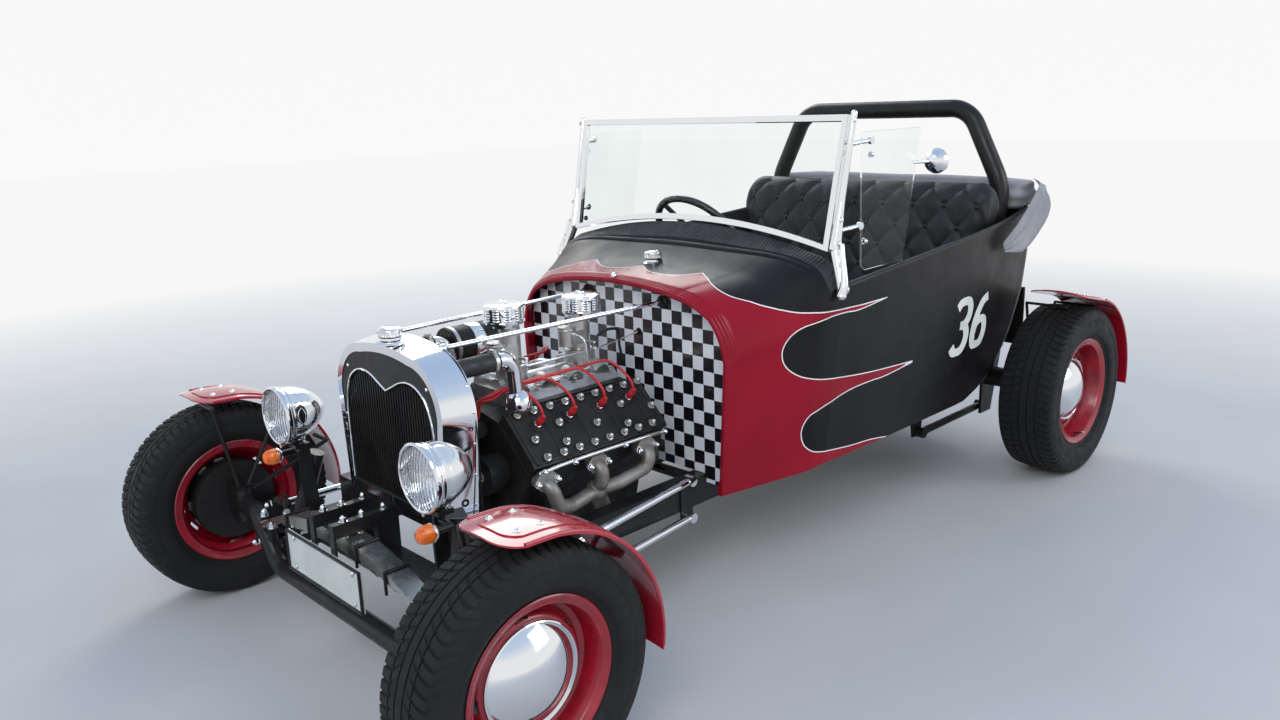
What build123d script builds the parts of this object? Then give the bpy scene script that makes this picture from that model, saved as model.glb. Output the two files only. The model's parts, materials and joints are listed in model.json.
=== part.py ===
from build123d import *
from math import atan2, cos, degrees, radians, sin, sqrt
import os

# Street rod roadster, millimetres. +X is the car's left, -Y is forward, +Z is up.
# The origin lies on the ground, midway along the car and across it.

# Stance
WHEELBASE = 2555
FRONT_TRACK = 1430
REAR_TRACK = 1376
FRONT_TYRE_R = 283
FRONT_TYRE_WIDTH = 174
REAR_TYRE_R = 310
REAR_TYRE_WIDTH = 203
FRONT_AXLE_Z = FRONT_TYRE_R
REAR_AXLE_Z = REAR_TYRE_R
REAR_FENDER_R = 350
FRONT_AXLE_Y = -(WHEELBASE - FRONT_TYRE_R + REAR_FENDER_R) / 2
FRONT_X = FRONT_TRACK / 2
REAR_X = REAR_TRACK / 2

# Wheels
FRONT_SEAT_R = 165
FRONT_FLANGE_R = 182
REAR_SEAT_R = 178
REAR_FLANGE_R = 197
FRONT_RIM_HALF = 70
REAR_RIM_HALF = 86
RIM_WALL = 5
CAP_R = 118.5
CAP_HEIGHT = 44
HUB_R = 32
DRUM_R = 118
SPINDLE_R = 15
RUN = 0.1
SEAT = 0.3
SLOT_PAIRS = 4
SLOT_HALF_TURN = 15
SLOT_START = 20

# Steering
KINGPIN_X = 600
KINGPIN_R = 10
EYE_R = 24
EYE_HALF = 28
EAR = 18
ARM_REACH = 135
TIE_ROD_Z = 182
TIE_ROD_R = 10
TIE_EYE_HALF = 12
BALL_PIN_R = 8

# Axle, spring and links
AXLE_TUBE_R = 27
AXLE_DROP_Z = 150
LINK_FRONT_X = 470
LINK_REAR_X = 345
LINK_R = 11
LINK_EYE_R = 15
LINK_TOP_Z = (312, 335)
LINK_LOW_Z = (215, 223)
LINK_FRONT = 52
LINK_REAR = 895
SPRING_TOP_Z = 386
SPRING_SPAN = 860
AXLE_DROP_X = SPRING_SPAN / 2 - 30
SPRING_RISE = 105
SPRING_WIDTH = 56
LEAF = 8
LEAF_COUNT = 5
LEAF_EYE_R = 11
LEAF_EYE_OUT = 6
LEAF_EYE_DROP = 10
SHOCK_LOW_Z = 199.5

# Frame
RAIL_X = 300
RAIL_WIDTH = 50
RAIL_FRONT_Z = 316
RAIL_SLOPE = 0.0094
RAIL_DEPTH = 90
RAIL_FRONT = 60
KICK_START = WHEELBASE - 435
RAIL_END = WHEELBASE + 145
KICK_TOP_Z = 428
KICK_DEPTH = 62

# Body stations, measured aft of the front axle
GRILLE_FRONT = 155
GRILLE_REAR = 240
COWL_FRONT = 937
CAP_STATION = 1112
COWL_BEAD = 1215
COWL_REAR = 1275
TUB_REAR = WHEELBASE + 37
SEAT_FRONT = WHEELBASE - 855
SEAT_BACK = WHEELBASE - 470
FIREWALL = 985
FIREWALL_THICK = 6
COWL_WALL = 20
TUB_WALL = 28
FLOOR_THICK = 14

# Extents beyond the car, for cuts right across it
OUTSIDE = 700
ABOVE = 1200

# Windscreen
SCREEN_HALF = 546
SCREEN_BASE_Z = 960
SCREEN_CROWN = 60
SCREEN_HEIGHT = 381
SCREEN_LEAN = 11
SCREEN_BAR = 18
GLASS_THICK = 6
POST_R = 9
POST_FOOT_R = 17
WING_CLIPS = (60, 300)

# Engine
BLOCK_FRONT = 398
BLOCK_REAR = 888
HEAD_LOW = (268, 493)
HEAD_HIGH = (152, 609)
HEAD_THICK = 34
HEAD_FRONT = 402
HEAD_REAR = 884
CARB_STATIONS = (547, 798)
PORT_STATIONS = (430, 606, 786)
HEADER_R = 19
DISTRIBUTOR_Z = 530
DISTRIBUTOR_R = 52
VALLEY_Z = 600
CRANK_PULLEY_R = 78
SHAFT_GAP = 0.7
PUMP_X = 120
PUMP_Z = 450
PUMP_PULLEY_R = 52
GENERATOR_X = -205
GENERATOR_Z = 723
GENERATOR_R = 56
CLEANER_R = 57.5
CLEANER_TOPS = (873, 858)
CARB_FOOT_Z = 690
HEADER_MERGE = (262, 612, 370)
TAIL_PIPE_R = 24
MUFFLER_R = 50
MUFFLER_Z = 208
TAIL_X = 222
HOSE_X = 150
HOSE_R = 25
NECK_R = 20
NECK_IN_HOSE = 20
HOSE_START = 392
HOSE_Z = 756

# Fenders
FENDER_SHEET = 4
FRONT_FENDER_R = 322
FENDER_CROWN = 9
PANEL_EDGE = 30
PANEL_RISE = 3
PANEL_START = 48
FRONT_STAY_R = 6
FRONT_STAY_ANGLES = (100, 62, 24)
REAR_STAY_R = 5

# Body sections
# station, half width at the foot, half width at the shoulder, foot z, shoulder z,
# shoulder arc's middle x and z, crown's edge x and z, top z
COWL_SECTIONS = [
    (COWL_FRONT, 429, 448, 297, 690, 412, 785, 250, 862, 882),
    (CAP_STATION, 486, 535, 309, 750, 504, 838, 326, 889, 909),
    (COWL_BEAD, 520, 582, 318, 806, 556, 884, 380, 934, 957),
    (COWL_REAR, 536, 592, 329, 858, 577, 906, 516, 944, 1014),
]
# station, half width at the foot, half width at the belt, belt z
TUB_SECTIONS = [
    (COWL_REAR, 536, 592, 860),
    (WHEELBASE - 955, 544, 596, 888),
    (WHEELBASE - 555, 546, 590, 920),
    (WHEELBASE - 255, 532, 572, 945),
    (TUB_REAR + 10, 505, 545, 992),
]
TUB_BOW = 7
TUB_CORNER = 110
TUB_BACK_HALF = 528
# station and z of the tub's tail, from the floor's end up to the belt
TUB_TAIL = [
    (WHEELBASE - 365, 337),
    (WHEELBASE - 265, 364),
    (WHEELBASE - 155, 418),
    (WHEELBASE - 55, 540),
    (WHEELBASE + 19, 690),
    (TUB_REAR, 830),
    (TUB_REAR - 12, 1010),
]
TAIL_NORMALS = [(0, 1), (0.3, 0.95), (0.6, 0.8), (0.82, 0.55), (0.95, 0.25), (1, 0), (1, 0)]
FLOOR_END = WHEELBASE - 375
TUNNEL_HALF = 130
TUNNEL_Z = 452

# Front end fittings
PERCH_X = 40
PERCH_Z = SPRING_TOP_Z + SEAT
ARM_DEPTH = 34
PLATE_STATION = -62
PLATE_TOP_Z = 345
PLATE_HALF = 186
PLATE_DEPTH = 107
PLATE_THICK = 8
PLATE_RIM = 8
PLATE_HOLE_X = 150
PLATE_HOLE_R = 3.5
SHELL_LOW_Z = 395
SHELL_SIDE_Z = 640
# half width at the side, half width at the foot, crown z
SHELL_FRONT = (247, 232, 820)
SHELL_REAR = (268, 244, 832)
SHELL_WALL = 8
SHELL_LIP = 22
SHELL_LIP_DEPTH = 10
CORE_SET_IN = 6
FACE_SIDE_X = 206
FACE_TOP_X = 112
FACE_TOP_Z = 738
FACE_POINT_Z = 700
LAMP_X = 352
LAMP_STATION = 15
LAMP_Z = 596
LAMP_R = 82
LAMP_WALL = 5
LAMP_LIP = 6
LENS_R = 71
INDICATOR_X = 384
INDICATOR_STATION = 36
INDICATOR_Z = 477
CRANK_Z = 330

# Rear end fittings
REAR_SPRING_Z = 500
REAR_SPRING_SPAN = 780
REAR_SPRING_RISE = 76
ARCH_DEPTH = 40
REAR_SPRING_STATION = WHEELBASE + 81
STAY_X = 576
PANEL_LOW_Z = 444
PANEL_TOP_Z = 667
REAR_STAY_ANGLES = (104, 60, 16)
AXLE_CASE_R = 38
BANJO_R = 128
PINION_REACH = 210
TAIL_LAMP_X = 262
TAIL_LAMP_Z = 512
TAIL_LAMP_R = 42
TRAIL_X = 395
TRAIL_FRONT = WHEELBASE - 445
TRAIL_Z = 178
TRAIL_R = 14
HOOP_STATION = WHEELBASE - 172
HOOP_R = 32
HOOP_TOP_Z = 1334
HOOP_TOP_HALF = 360
HOOP_FOOT_Z = 430
HOOP_FOOT_X = 446
HOOP_WAIST_X = 497

# Cockpit
WING_X = 586
MIRROR_AT = (622, 1712, 1190)
STEER_CENTRE = (-300, FRONT_AXLE_Y + 1660, 900)
STEER_AXIS = (0, 0.82, 0.57)
STEER_R = 185
SEAT_HALF = 496
SEAT_Z = 590
SEAT_TOP_Z = 1094
ROLL_HALF = 560
BOOT_TOP_Z = 1086


def aft(station):
    """Place along Y of a station measured aft of the front axle."""
    return FRONT_AXLE_Y + station


def stations(start, end):
    """Span along Y between two stations."""
    return (aft(start), aft(end))


def beside(side, near, far):
    """Span along X on one side of the car."""
    return sorted((side * near, side * far))


def mirrored(shape):
    return mirror(shape, about=Plane.YZ)


def pair(shape):
    return [shape, mirrored(shape)]


def bar(start, end, radius):
    """A round bar from one point to another."""
    start = Vector(*start)
    run = Vector(*end) - start
    return Plane(origin=start, z_dir=run) * Cylinder(
        radius, run.length, align=(Align.CENTER, Align.CENTER, Align.MIN))


def block(x_span, y_span, z_span):
    """A box given by its spans along each axis."""
    size = [high - low for low, high in (x_span, y_span, z_span)]
    middle = [(high + low) / 2 for low, high in (x_span, y_span, z_span)]
    return Pos(*middle) * Box(*size)


def bent_tube(points, radius, bends):
    """A round tube along straight runs joined by tangent arcs."""
    path = FilletPolyline(*points, radius=bends)
    section = Plane(origin=path @ 0, z_dir=path % 0) * Circle(radius)
    return sweep(section, path=path)


def plate_x(points, x_span):
    """A plate across X, from its outline in (station, z)."""
    outline = [(0, aft(station), z) for station, z in points]
    face = make_face(Polyline(*outline, close=True))
    low, high = x_span
    return Pos(low, 0, 0) * extrude(face, amount=high - low, dir=(1, 0, 0))


def plate_y(points, y_span):
    """A plate across Y, from its outline in (x, z)."""
    outline = [(x, 0, z) for x, z in points]
    face = make_face(Polyline(*outline, close=True))
    low, high = y_span
    return Pos(0, low, 0) * extrude(face, amount=high - low, dir=(0, 1, 0))


def turned(points):
    """A solid of revolution about X, from its outline in (x, radius)."""
    return revolve(make_face(Polyline(*points, close=True)), axis=Axis.X)


def turned_about(points, centre, direction):
    """A solid of revolution from its outline in (along, radius), about any axis."""
    solid = turned(points)
    return Plane(origin=centre, x_dir=direction, z_dir=square_to(direction)) * solid


def square_to(direction):
    """A direction square to the given one."""
    along = Vector(*direction)
    other = Vector(0, 0, 1) if abs(along.Z) < 0.9 * along.length else Vector(1, 0, 0)
    return along.cross(other)


# Wheels

def tyre(radius, width, seat_r, flange_r, rim_half):
    half = width / 2
    bead = rim_half - 6 - SEAT
    right = [  # across, radius
        (bead, seat_r + SEAT),
        (bead, flange_r),
        (half - 3, flange_r + 16),
        (half, (flange_r + radius) / 2 - 6),
        (half - 8, radius - 28),
        (half - 20, radius - 8),
        (half - 44, radius),
    ]
    left = [(-across, r) for across, r in reversed(right)]
    return turned(right + left)


def rim(seat_r, flange_r, rim_half):
    """Drop-centre rim, slotted disc, drum and hub, with the outboard side towards +X."""
    well = seat_r - 18
    outside = [  # across, radius
        (-rim_half, flange_r), (-rim_half + 6, flange_r), (-rim_half + 6, seat_r),
        (-38, seat_r - 2), (-30, well), (4, well), (12, seat_r - 2),
        (rim_half - 6, seat_r), (rim_half - 6, flange_r), (rim_half, flange_r),
    ]
    inside = [
        (rim_half, flange_r - 8), (rim_half - 5, seat_r - RIM_WALL), (14, seat_r - 2 - RIM_WALL),
        (5, well - RIM_WALL), (-31, well - RIM_WALL), (-40, seat_r - 2 - RIM_WALL),
        (-rim_half + 3, seat_r - RIM_WALL), (-rim_half, flange_r - 8),
    ]
    barrel = turned(outside + inside)
    well_in = well - RIM_WALL
    disc = turned([
        (0, well_in + 2), (10, well_in + 2), (30, CAP_R + 6), (30, CAP_R - 8), (18, CAP_R - 18),
        (14, HUB_R + 20), (14, SPINDLE_R + RUN), (-46, SPINDLE_R + RUN), (-46, HUB_R), (4, HUB_R),
        (4, DRUM_R - 8), (-44, DRUM_R - 8), (-44, DRUM_R), (8, DRUM_R),
    ])
    slot = Pos(16, 0, (well_in + CAP_R) / 2 + 4) * Box(60, 34, 9)
    for k in range(SLOT_PAIRS):
        for way in (-1, 1):
            disc -= Rot(X=SLOT_START + 360 / SLOT_PAIRS * k + way * SLOT_HALF_TURN) * slot
    return barrel + disc


def dome_points(base_x, base_r, apex_x):
    """Start, middle and end of an arc from a ring to the axis, centred on the axis."""
    height = apex_x - base_x
    curve = (base_r * base_r + height * height) / (2 * height)
    half = atan2(base_r, curve - height) / 2
    middle = (apex_x - curve * (1 - cos(half)), curve * sin(half))
    return (base_x, base_r), middle, (apex_x, 0)


def hub_cap():
    """Domed cap that seats on the disc's raised ring."""
    seat = 30 + SEAT
    outer = dome_points(seat + 5, CAP_R, seat + CAP_HEIGHT)
    inner = dome_points(seat, CAP_R - 5, seat + CAP_HEIGHT - 3)
    face = make_face([
        ThreePointArc(*outer), Line(outer[2], inner[2]), ThreePointArc(*reversed(inner)),
        Polyline(inner[0], (seat, CAP_R), outer[0])])
    return revolve(face, axis=Axis.X)


# Front axle, steering and links

def front_axle():
    points = [
        (-KINGPIN_X, aft(0), FRONT_AXLE_Z), (-KINGPIN_X + 80, aft(0), FRONT_AXLE_Z),
        (-AXLE_DROP_X, aft(0), AXLE_DROP_Z), (AXLE_DROP_X, aft(0), AXLE_DROP_Z),
        (KINGPIN_X - 80, aft(0), FRONT_AXLE_Z), (KINGPIN_X, aft(0), FRONT_AXLE_Z),
    ]
    beam = bent_tube(points, AXLE_TUBE_R, [60, 90, 90, 60])
    eye_low = SPRING_TOP_Z - SPRING_RISE - LEAF_EYE_DROP - LEAF_EYE_R
    for side in (-1, 1):
        at = Pos(side * KINGPIN_X, aft(0), FRONT_AXLE_Z)
        beam += at * Cylinder(EYE_R, 2 * EYE_HALF)
        beam -= at * Cylinder(KINGPIN_R + RUN, 4 * EYE_HALF)
        wing = [(-16, 215), (LINK_FRONT + 18, LINK_LOW_Z[0] - 18), (LINK_FRONT + 18, LINK_TOP_Z[0] + 16),
                (LINK_FRONT - 18, LINK_TOP_Z[0] + 16), (-16, 262)]
        beam += plate_x(wing, (side * LINK_FRONT_X - 5, side * LINK_FRONT_X + 5))
        perch_x = side * (SPRING_SPAN / 2 + LEAF_EYE_OUT)
        beam += bar((perch_x, aft(0), 200), (perch_x, aft(0), eye_low - SEAT), 13)
        lug = beside(side, AXLE_DROP_X + 8, AXLE_DROP_X + 20)
        beam += block(lug, stations(18, 70), (AXLE_DROP_Z, SHOCK_LOW_Z - 3.5))
    return beam


def front_spring():
    return leaf_stack(SPRING_TOP_Z, SPRING_RISE, SPRING_SPAN, aft(0), LEAF_COUNT)


def leaf_stack(top_z, rise, span, y, count):
    """Stack of leaves with a common centre of curvature, longest on top, with rolled eyes."""
    half = span / 2
    curve = (half * half + rise * rise) / (2 * rise)
    centre_z = top_z - curve
    whole = degrees(atan2(half, curve - rise))
    stack = None
    for k in range(count):
        leaf = leaf_arc(curve - k * LEAF, whole * (1 - 0.17 * k), centre_z, y)
        stack = leaf if stack is None else stack + leaf
    for side in (-1, 1):
        x, z = side * (half + LEAF_EYE_OUT), top_z - rise - LEAF_EYE_DROP
        stack += bar((x, y - SPRING_WIDTH / 2, z), (x, y + SPRING_WIDTH / 2, z), LEAF_EYE_R)
    return stack


def leaf_arc(outer, half_angle, centre_z, y):
    top = [polar(outer, a, centre_z) for a in (-half_angle, 0, half_angle)]
    low = [polar(outer - LEAF, a, centre_z) for a in (-half_angle, 0, half_angle)]
    face = make_face([
        ThreePointArc(*top), Line(top[2], low[2]), ThreePointArc(*reversed(low)), Line(low[0], top[0])])
    return Pos(0, y - SPRING_WIDTH / 2, 0) * extrude(face, amount=SPRING_WIDTH, dir=(0, 1, 0))


def polar(radius, angle, centre_z):
    return (radius * sin(radians(angle)), 0, centre_z + radius * cos(radians(angle)))


def radius_rods():
    """Upper and lower rods on each side, from the axle's wings back to the rail's ear."""
    rods = []
    for front_z, rear_z in (LINK_TOP_Z, LINK_LOW_Z):
        front = (LINK_FRONT_X - 22, aft(LINK_FRONT), front_z)
        rear = (LINK_REAR_X, aft(LINK_REAR), rear_z)
        rod = bar(front, rear, LINK_R)
        for (_, y, z), near, far in ((front, LINK_FRONT_X - 5 - SEAT, LINK_FRONT_X - 36),
                                     (rear, LINK_REAR_X - 14 + SEAT, LINK_REAR_X + 14)):
            rod += bar((near, y, z), (far, y, z), LINK_EYE_R)
        rods += pair(rod)
    return rods


def knuckle():
    """Left knuckle: yoke, kingpin, spindle, backing plate, steering arm and fender stays."""
    at = Pos(KINGPIN_X, aft(0), FRONT_AXLE_Z)
    gap = 1
    ear_z = EYE_HALF + gap
    yoke = block((26, 46), (-22, 22), (-ear_z - EAR, ear_z + EAR))
    for low in (ear_z, -ear_z - EAR):
        yoke += block((0, 46), (-22, 22), (low, low + EAR))
        yoke += Pos(0, 0, low + EAR / 2) * Cylinder(22, EAR)
    yoke += Cylinder(KINGPIN_R, 2 * ear_z + 2 * EAR + 8)
    reach = FRONT_X - KINGPIN_X
    yoke += bar((30, 0, 0), (reach + 13, 0, 0), SPINDLE_R)
    plate_at = reach - 54
    yoke += bar((plate_at, 0, 0), (plate_at + 6, 0, 0), DRUM_R - 2)
    arm_low = -ear_z - EAR + 2
    pin_low = TIE_ROD_Z - TIE_EYE_HALF - 4 - FRONT_AXLE_Z
    tip = ARM_REACH + 14
    arm = make_face(Polyline((28, 0, arm_low), (46, 0, arm_low), (46, 30, arm_low), (14, tip, arm_low),
                             (-14, tip, arm_low), (-14, tip - 24, arm_low), close=True))
    yoke += extrude(arm, amount=16, dir=(0, 0, 1))
    pin_top = TIE_ROD_Z + TIE_EYE_HALF + 1 - FRONT_AXLE_Z
    yoke += bar((0, ARM_REACH, pin_top), (0, ARM_REACH, arm_low + 2), 13)
    yoke += bar((0, ARM_REACH, pin_low), (0, ARM_REACH, arm_low), BALL_PIN_R)
    stay_r = FRONT_FENDER_R - FENDER_CROWN - FENDER_SHEET - FRONT_STAY_R - SEAT
    for angle in FRONT_STAY_ANGLES:
        rise = (cos(radians(angle)), sin(radians(angle)))
        foot = (10, 40 * rise[0], 26 + 26 * rise[1])
        top = (10, stay_r * rise[0], stay_r * rise[1])
        yoke += bar(foot, top, FRONT_STAY_R)
        yoke += bar(top, (90, top[1], top[2]), FRONT_STAY_R)
        yoke += Pos(*top) * Sphere(FRONT_STAY_R)
        yoke += Pos(*foot) * Sphere(FRONT_STAY_R)
    yoke += block((4, 30), (-20, 40), (44, 56))
    return at * yoke


def tie_rod():
    y = aft(ARM_REACH)
    rod = bar((-KINGPIN_X, y, TIE_ROD_Z), (KINGPIN_X, y, TIE_ROD_Z), TIE_ROD_R)
    for side, slack in ((1, RUN), (-1, 1.5)):
        at = Pos(side * KINGPIN_X, y, TIE_ROD_Z)
        rod += at * Cylinder(16, 2 * TIE_EYE_HALF)
        rod -= at * Cylinder(BALL_PIN_R + slack, 4 * TIE_ROD_R)
    return rod


def fender(outer_r, x_span, start, stop, nose, nose_round):
    """Cycle fender with a raised panel over its nose."""
    low, high = x_span
    sheet = fender_sheet(outer_r, x_span, FENDER_CROWN, start, stop, nose, nose_round)
    share = 1 - 2 * PANEL_EDGE / (high - low)
    crown = FENDER_CROWN * share * share
    panel = fender_sheet(outer_r + PANEL_RISE, (low + PANEL_EDGE, high - PANEL_EDGE), crown,
                         PANEL_START, stop, nose - PANEL_EDGE, nose_round * share)
    return sheet + panel


def fender_sheet(outer_r, x_span, crown, start, stop, nose, nose_round):
    """A crowned sheet turned about the axle, with a straight nose."""
    low, high = x_span
    mid = (low + high) / 2
    edge_r = outer_r - crown
    face = make_face([
        ThreePointArc((low, edge_r, 0), (mid, outer_r, 0), (high, edge_r, 0)),
        Line((high, edge_r, 0), (high, edge_r - FENDER_SHEET, 0)),
        ThreePointArc((high, edge_r - FENDER_SHEET, 0), (mid, outer_r - FENDER_SHEET, 0),
                      (low, edge_r - FENDER_SHEET, 0)),
        Line((low, edge_r - FENDER_SHEET, 0), (low, edge_r, 0)),
    ])
    sweep_part = revolve(Rot(X=start) * face, axis=Axis.X, revolution_arc=stop - start)
    ahead = (0, -sin(radians(stop)), cos(radians(stop)))
    tongue = extrude(Rot(X=stop) * face, amount=nose, dir=ahead)
    tip_y = outer_r * cos(radians(stop)) + nose * ahead[1]
    wide = (low - 1, high + 1)
    plan = FilletPolyline((wide[0], 600), (wide[0], tip_y), (wide[1], tip_y), (wide[1], 600),
                          radius=[nose_round, nose_round])
    shape = make_face([plan, Line((wide[1], 600), (wide[0], 600))])
    keep = Pos(0, 0, -2 * outer_r) * extrude(shape, amount=4 * outer_r, dir=(0, 0, 1))
    return (sweep_part + tongue) & keep


# Frame

def rail_top(station):
    """Height of the rail's top face, which the body sits on."""
    return RAIL_FRONT_Z + RAIL_SLOPE * station


def rail():
    """Left rail, kicked up over the rear axle, with the ear that the radius rods bolt to."""
    kick_low = KICK_TOP_Z - KICK_DEPTH
    outline = [
        (RAIL_FRONT, rail_top(RAIL_FRONT)),
        (RAIL_FRONT, rail_top(RAIL_FRONT) - RAIL_DEPTH + 10),
        (KICK_START, rail_top(KICK_START) - RAIL_DEPTH),
        (KICK_START + 170, rail_top(KICK_START) - 36),
        (KICK_START + 340, kick_low),
        (RAIL_END, kick_low),
        (RAIL_END, KICK_TOP_Z),
        (KICK_START + 350, KICK_TOP_Z),
        (KICK_START + 280, KICK_TOP_Z - 24),
        (KICK_START + 170, rail_top(KICK_START) + 22),
        (KICK_START + 70, rail_top(KICK_START + 70)),
    ]
    outer = RAIL_X + RAIL_WIDTH / 2
    side = plate_x(outline, (RAIL_X - RAIL_WIDTH / 2, outer))
    ear = block((outer, LINK_REAR_X - 14), (aft(LINK_REAR - 24), aft(LINK_REAR + 24)),
                (LINK_LOW_Z[1] - 24, LINK_TOP_Z[1] - 8))
    return side + ear


def crossmembers():
    """Front, middle and rear members, the radiator's bridge and the rear spring's arch."""
    inner = RAIL_X - RAIL_WIDTH / 2
    outer = RAIL_X + RAIL_WIDTH / 2
    front_y = stations(RAIL_FRONT + 4, RAIL_FRONT + 64)
    arm_top = PERCH_Z + ARM_DEPTH
    front = block((-inner, inner), front_y, (244, 312))
    for side in (-1, 1):
        arm = beside(side, PERCH_X, PERCH_X + 22)
        front += block(arm, front_y, (300, arm_top))
        front += block(arm, stations(PLATE_STATION + PLATE_THICK, RAIL_FRONT + 64), (PERCH_Z, arm_top))
        drop_y = stations(PLATE_STATION + PLATE_THICK, PLATE_STATION + PLATE_THICK + 6)
        front += block(arm, drop_y, (PLATE_TOP_Z - 60, arm_top))
    front += block((-PERCH_X, PERCH_X), stations(-32, 32), (PERCH_Z, PERCH_Z + 10))
    middle = block((-inner, inner), stations(1060, 1110), (240.5, 251))
    bridge_y = stations(GRILLE_FRONT + 12, GRILLE_REAR - 18)
    bridge = block((-outer, outer), bridge_y, (SHELL_LOW_Z - 30, SHELL_LOW_Z - SEAT))
    arch_y = stations(RAIL_END - 28, RAIL_END)
    spring_y = stations(REAR_SPRING_STATION - 34, RAIL_END)
    arch = block((-outer, outer), arch_y, (REAR_SPRING_Z + SEAT, REAR_SPRING_Z + ARCH_DEPTH))
    arch += block((-60, 60), spring_y, (REAR_SPRING_Z + SEAT, REAR_SPRING_Z + ARCH_DEPTH - 14))
    for side in (-1, 1):
        leg = beside(side, inner, outer)
        bridge += block(leg, bridge_y, (rail_top(200) + SEAT, SHELL_LOW_Z - 10))
        arch += block(leg, arch_y, (KICK_TOP_Z + SEAT, REAR_SPRING_Z + ARCH_DEPTH - 10))
    return [front, middle, bridge, arch]


# Rear axle and links

def rear_axle():
    """Axle tubes, banjo housing, spindles, backing plates and the fender stays they carry."""
    y, z = aft(WHEELBASE), REAR_AXLE_Z
    plate_at = REAR_X - 54
    axle = bar((-plate_at, y, z), (plate_at, y, z), AXLE_CASE_R)
    axle += bar((0, y - 60, z), (0, y + 70, z), BANJO_R)
    axle += bar((0, y - PINION_REACH, z), (0, y, z), 62)
    stay_r = REAR_FENDER_R - FENDER_CROWN - FENDER_SHEET - REAR_STAY_R - SEAT
    for side in (-1, 1):
        axle += bar((side * plate_at, y, z), (side * (plate_at + 6), y, z), DRUM_R - 2)
        axle += bar((side * plate_at, y, z), (side * (REAR_X + 13), y, z), SPINDLE_R)
        for angle in REAR_STAY_ANGLES:
            ahead, up = cos(radians(angle)), sin(radians(angle))
            foot = (side * STAY_X, y + 20 * ahead, z + 20 * up)
            top = (side * STAY_X, y + stay_r * ahead, z + stay_r * up)
            axle += bar(foot, top, REAR_STAY_R)
            axle += bar(top, (side * (REAR_X + 40), top[1], top[2]), REAR_STAY_R)
            axle += Pos(*top) * Sphere(REAR_STAY_R)
        bracket = [(WHEELBASE - 40, TRAIL_Z - 18), (WHEELBASE + 40, TRAIL_Z - 18), (WHEELBASE + 100, 390),
                   (WHEELBASE + 64, 400), (WHEELBASE - 40, REAR_AXLE_Z + 44)]
        axle += plate_x(bracket, (side * TRAIL_X - 5, side * TRAIL_X + 5))
    return axle


def rear_links():
    """Lower trailing arms, from a hanger under each rail to the axle's bracket."""
    x = TRAIL_X - 22
    end_z = TRAIL_Z + 4
    arm = bar((x, aft(TRAIL_FRONT), TRAIL_Z), (x, aft(WHEELBASE), end_z), TRAIL_R)
    for station, z in ((TRAIL_FRONT, TRAIL_Z), (WHEELBASE, end_z)):
        arm += bar((TRAIL_X - 38, aft(station), z), (TRAIL_X - 5 - SEAT, aft(station), z), TRAIL_R + 5)
    top_z = rail_top(TRAIL_FRONT) - RAIL_DEPTH - 1
    hanger_x = TRAIL_X - 38 - SEAT
    hanger = plate_x([(TRAIL_FRONT - 40, top_z), (TRAIL_FRONT + 40, top_z), (TRAIL_FRONT + 25, TRAIL_Z - 18),
                      (TRAIL_FRONT - 25, TRAIL_Z - 18)], (hanger_x - 8, hanger_x))
    return pair(arm) + pair(hanger)


def rear_spring():
    return leaf_stack(REAR_SPRING_Z, REAR_SPRING_RISE, REAR_SPRING_SPAN, aft(REAR_SPRING_STATION), LEAF_COUNT)


# Body

def cowl_section(station, inset):
    """Closed outline of the cowl at a station, inset all round."""
    row = next(row for row in COWL_SECTIONS if row[0] == station)
    _, half_low, half_side, low_z, side_z, mid_x, mid_z, crown_x, crown_z, top_z = row
    y = aft(station)
    low_z = low_z - (1 if inset else 0)
    right = [
        (half_low - inset, y, low_z),
        (half_side - inset, y, side_z),
        (mid_x - 0.8 * inset, y, mid_z - 0.6 * inset),
        (crown_x - 0.35 * inset, y, crown_z - 0.93 * inset),
    ]
    left = [(-x, yy, z) for x, yy, z in right]
    top = (0, y, top_z - inset)
    return make_face([
        Line(left[0], right[0]),
        Line(right[0], right[1]),
        ThreePointArc(right[1], right[2], right[3]),
        ThreePointArc(right[3], top, left[3]),
        ThreePointArc(left[3], left[2], left[1]),
        Line(left[1], left[0]),
    ])


def cowl_loft(inset):
    sections = [cowl_section(row[0], inset) for row in COWL_SECTIONS]
    return loft(sections, ruled=True)


def cowl():
    """Cowl shell with the ledge where a hood would rest."""
    outer = cowl_loft(0)
    ledge = wide_block(COWL_FRONT - 1, COWL_FRONT + 22, 0, ABOVE) - cowl_loft(7)
    inner = cowl_loft(COWL_WALL)
    past = 2
    for station, way in ((COWL_FRONT, -1), (COWL_REAR, 1)):
        inner += extrude(cowl_section(station, COWL_WALL), amount=past, dir=(0, way, 0))
    below = block((-COWL_SECTIONS[0][1] + COWL_WALL, COWL_SECTIONS[0][1] - COWL_WALL),
                  (aft(COWL_FRONT) - past, aft(COWL_REAR) + past), (200, 400))
    return outer - ledge - inner - below


def wide_block(start, end, low_z, high_z):
    """A block right across the car, to cut with."""
    return block((-OUTSIDE, OUTSIDE), stations(start, end), (low_z, high_z))


def slab_in_cowl(start, thick, low_z, high_z):
    return cowl_loft(COWL_WALL + SEAT) & wide_block(start, start + thick, low_z, high_z)


def tunnel(half, top_z):
    return block((-half, half), stations(FIREWALL - 20, FLOOR_END + 20), (200, top_z))


def firewall():
    panel = slab_in_cowl(FIREWALL, FIREWALL_THICK, 300, 1100) - tunnel(TUNNEL_HALF, TUNNEL_Z)
    half = RAIL_X + RAIL_WIDTH / 2 + 1
    return panel - block((-half, half), stations(FIREWALL - 5, FIREWALL + 20), (200, rail_top(FIREWALL) + 1))


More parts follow.
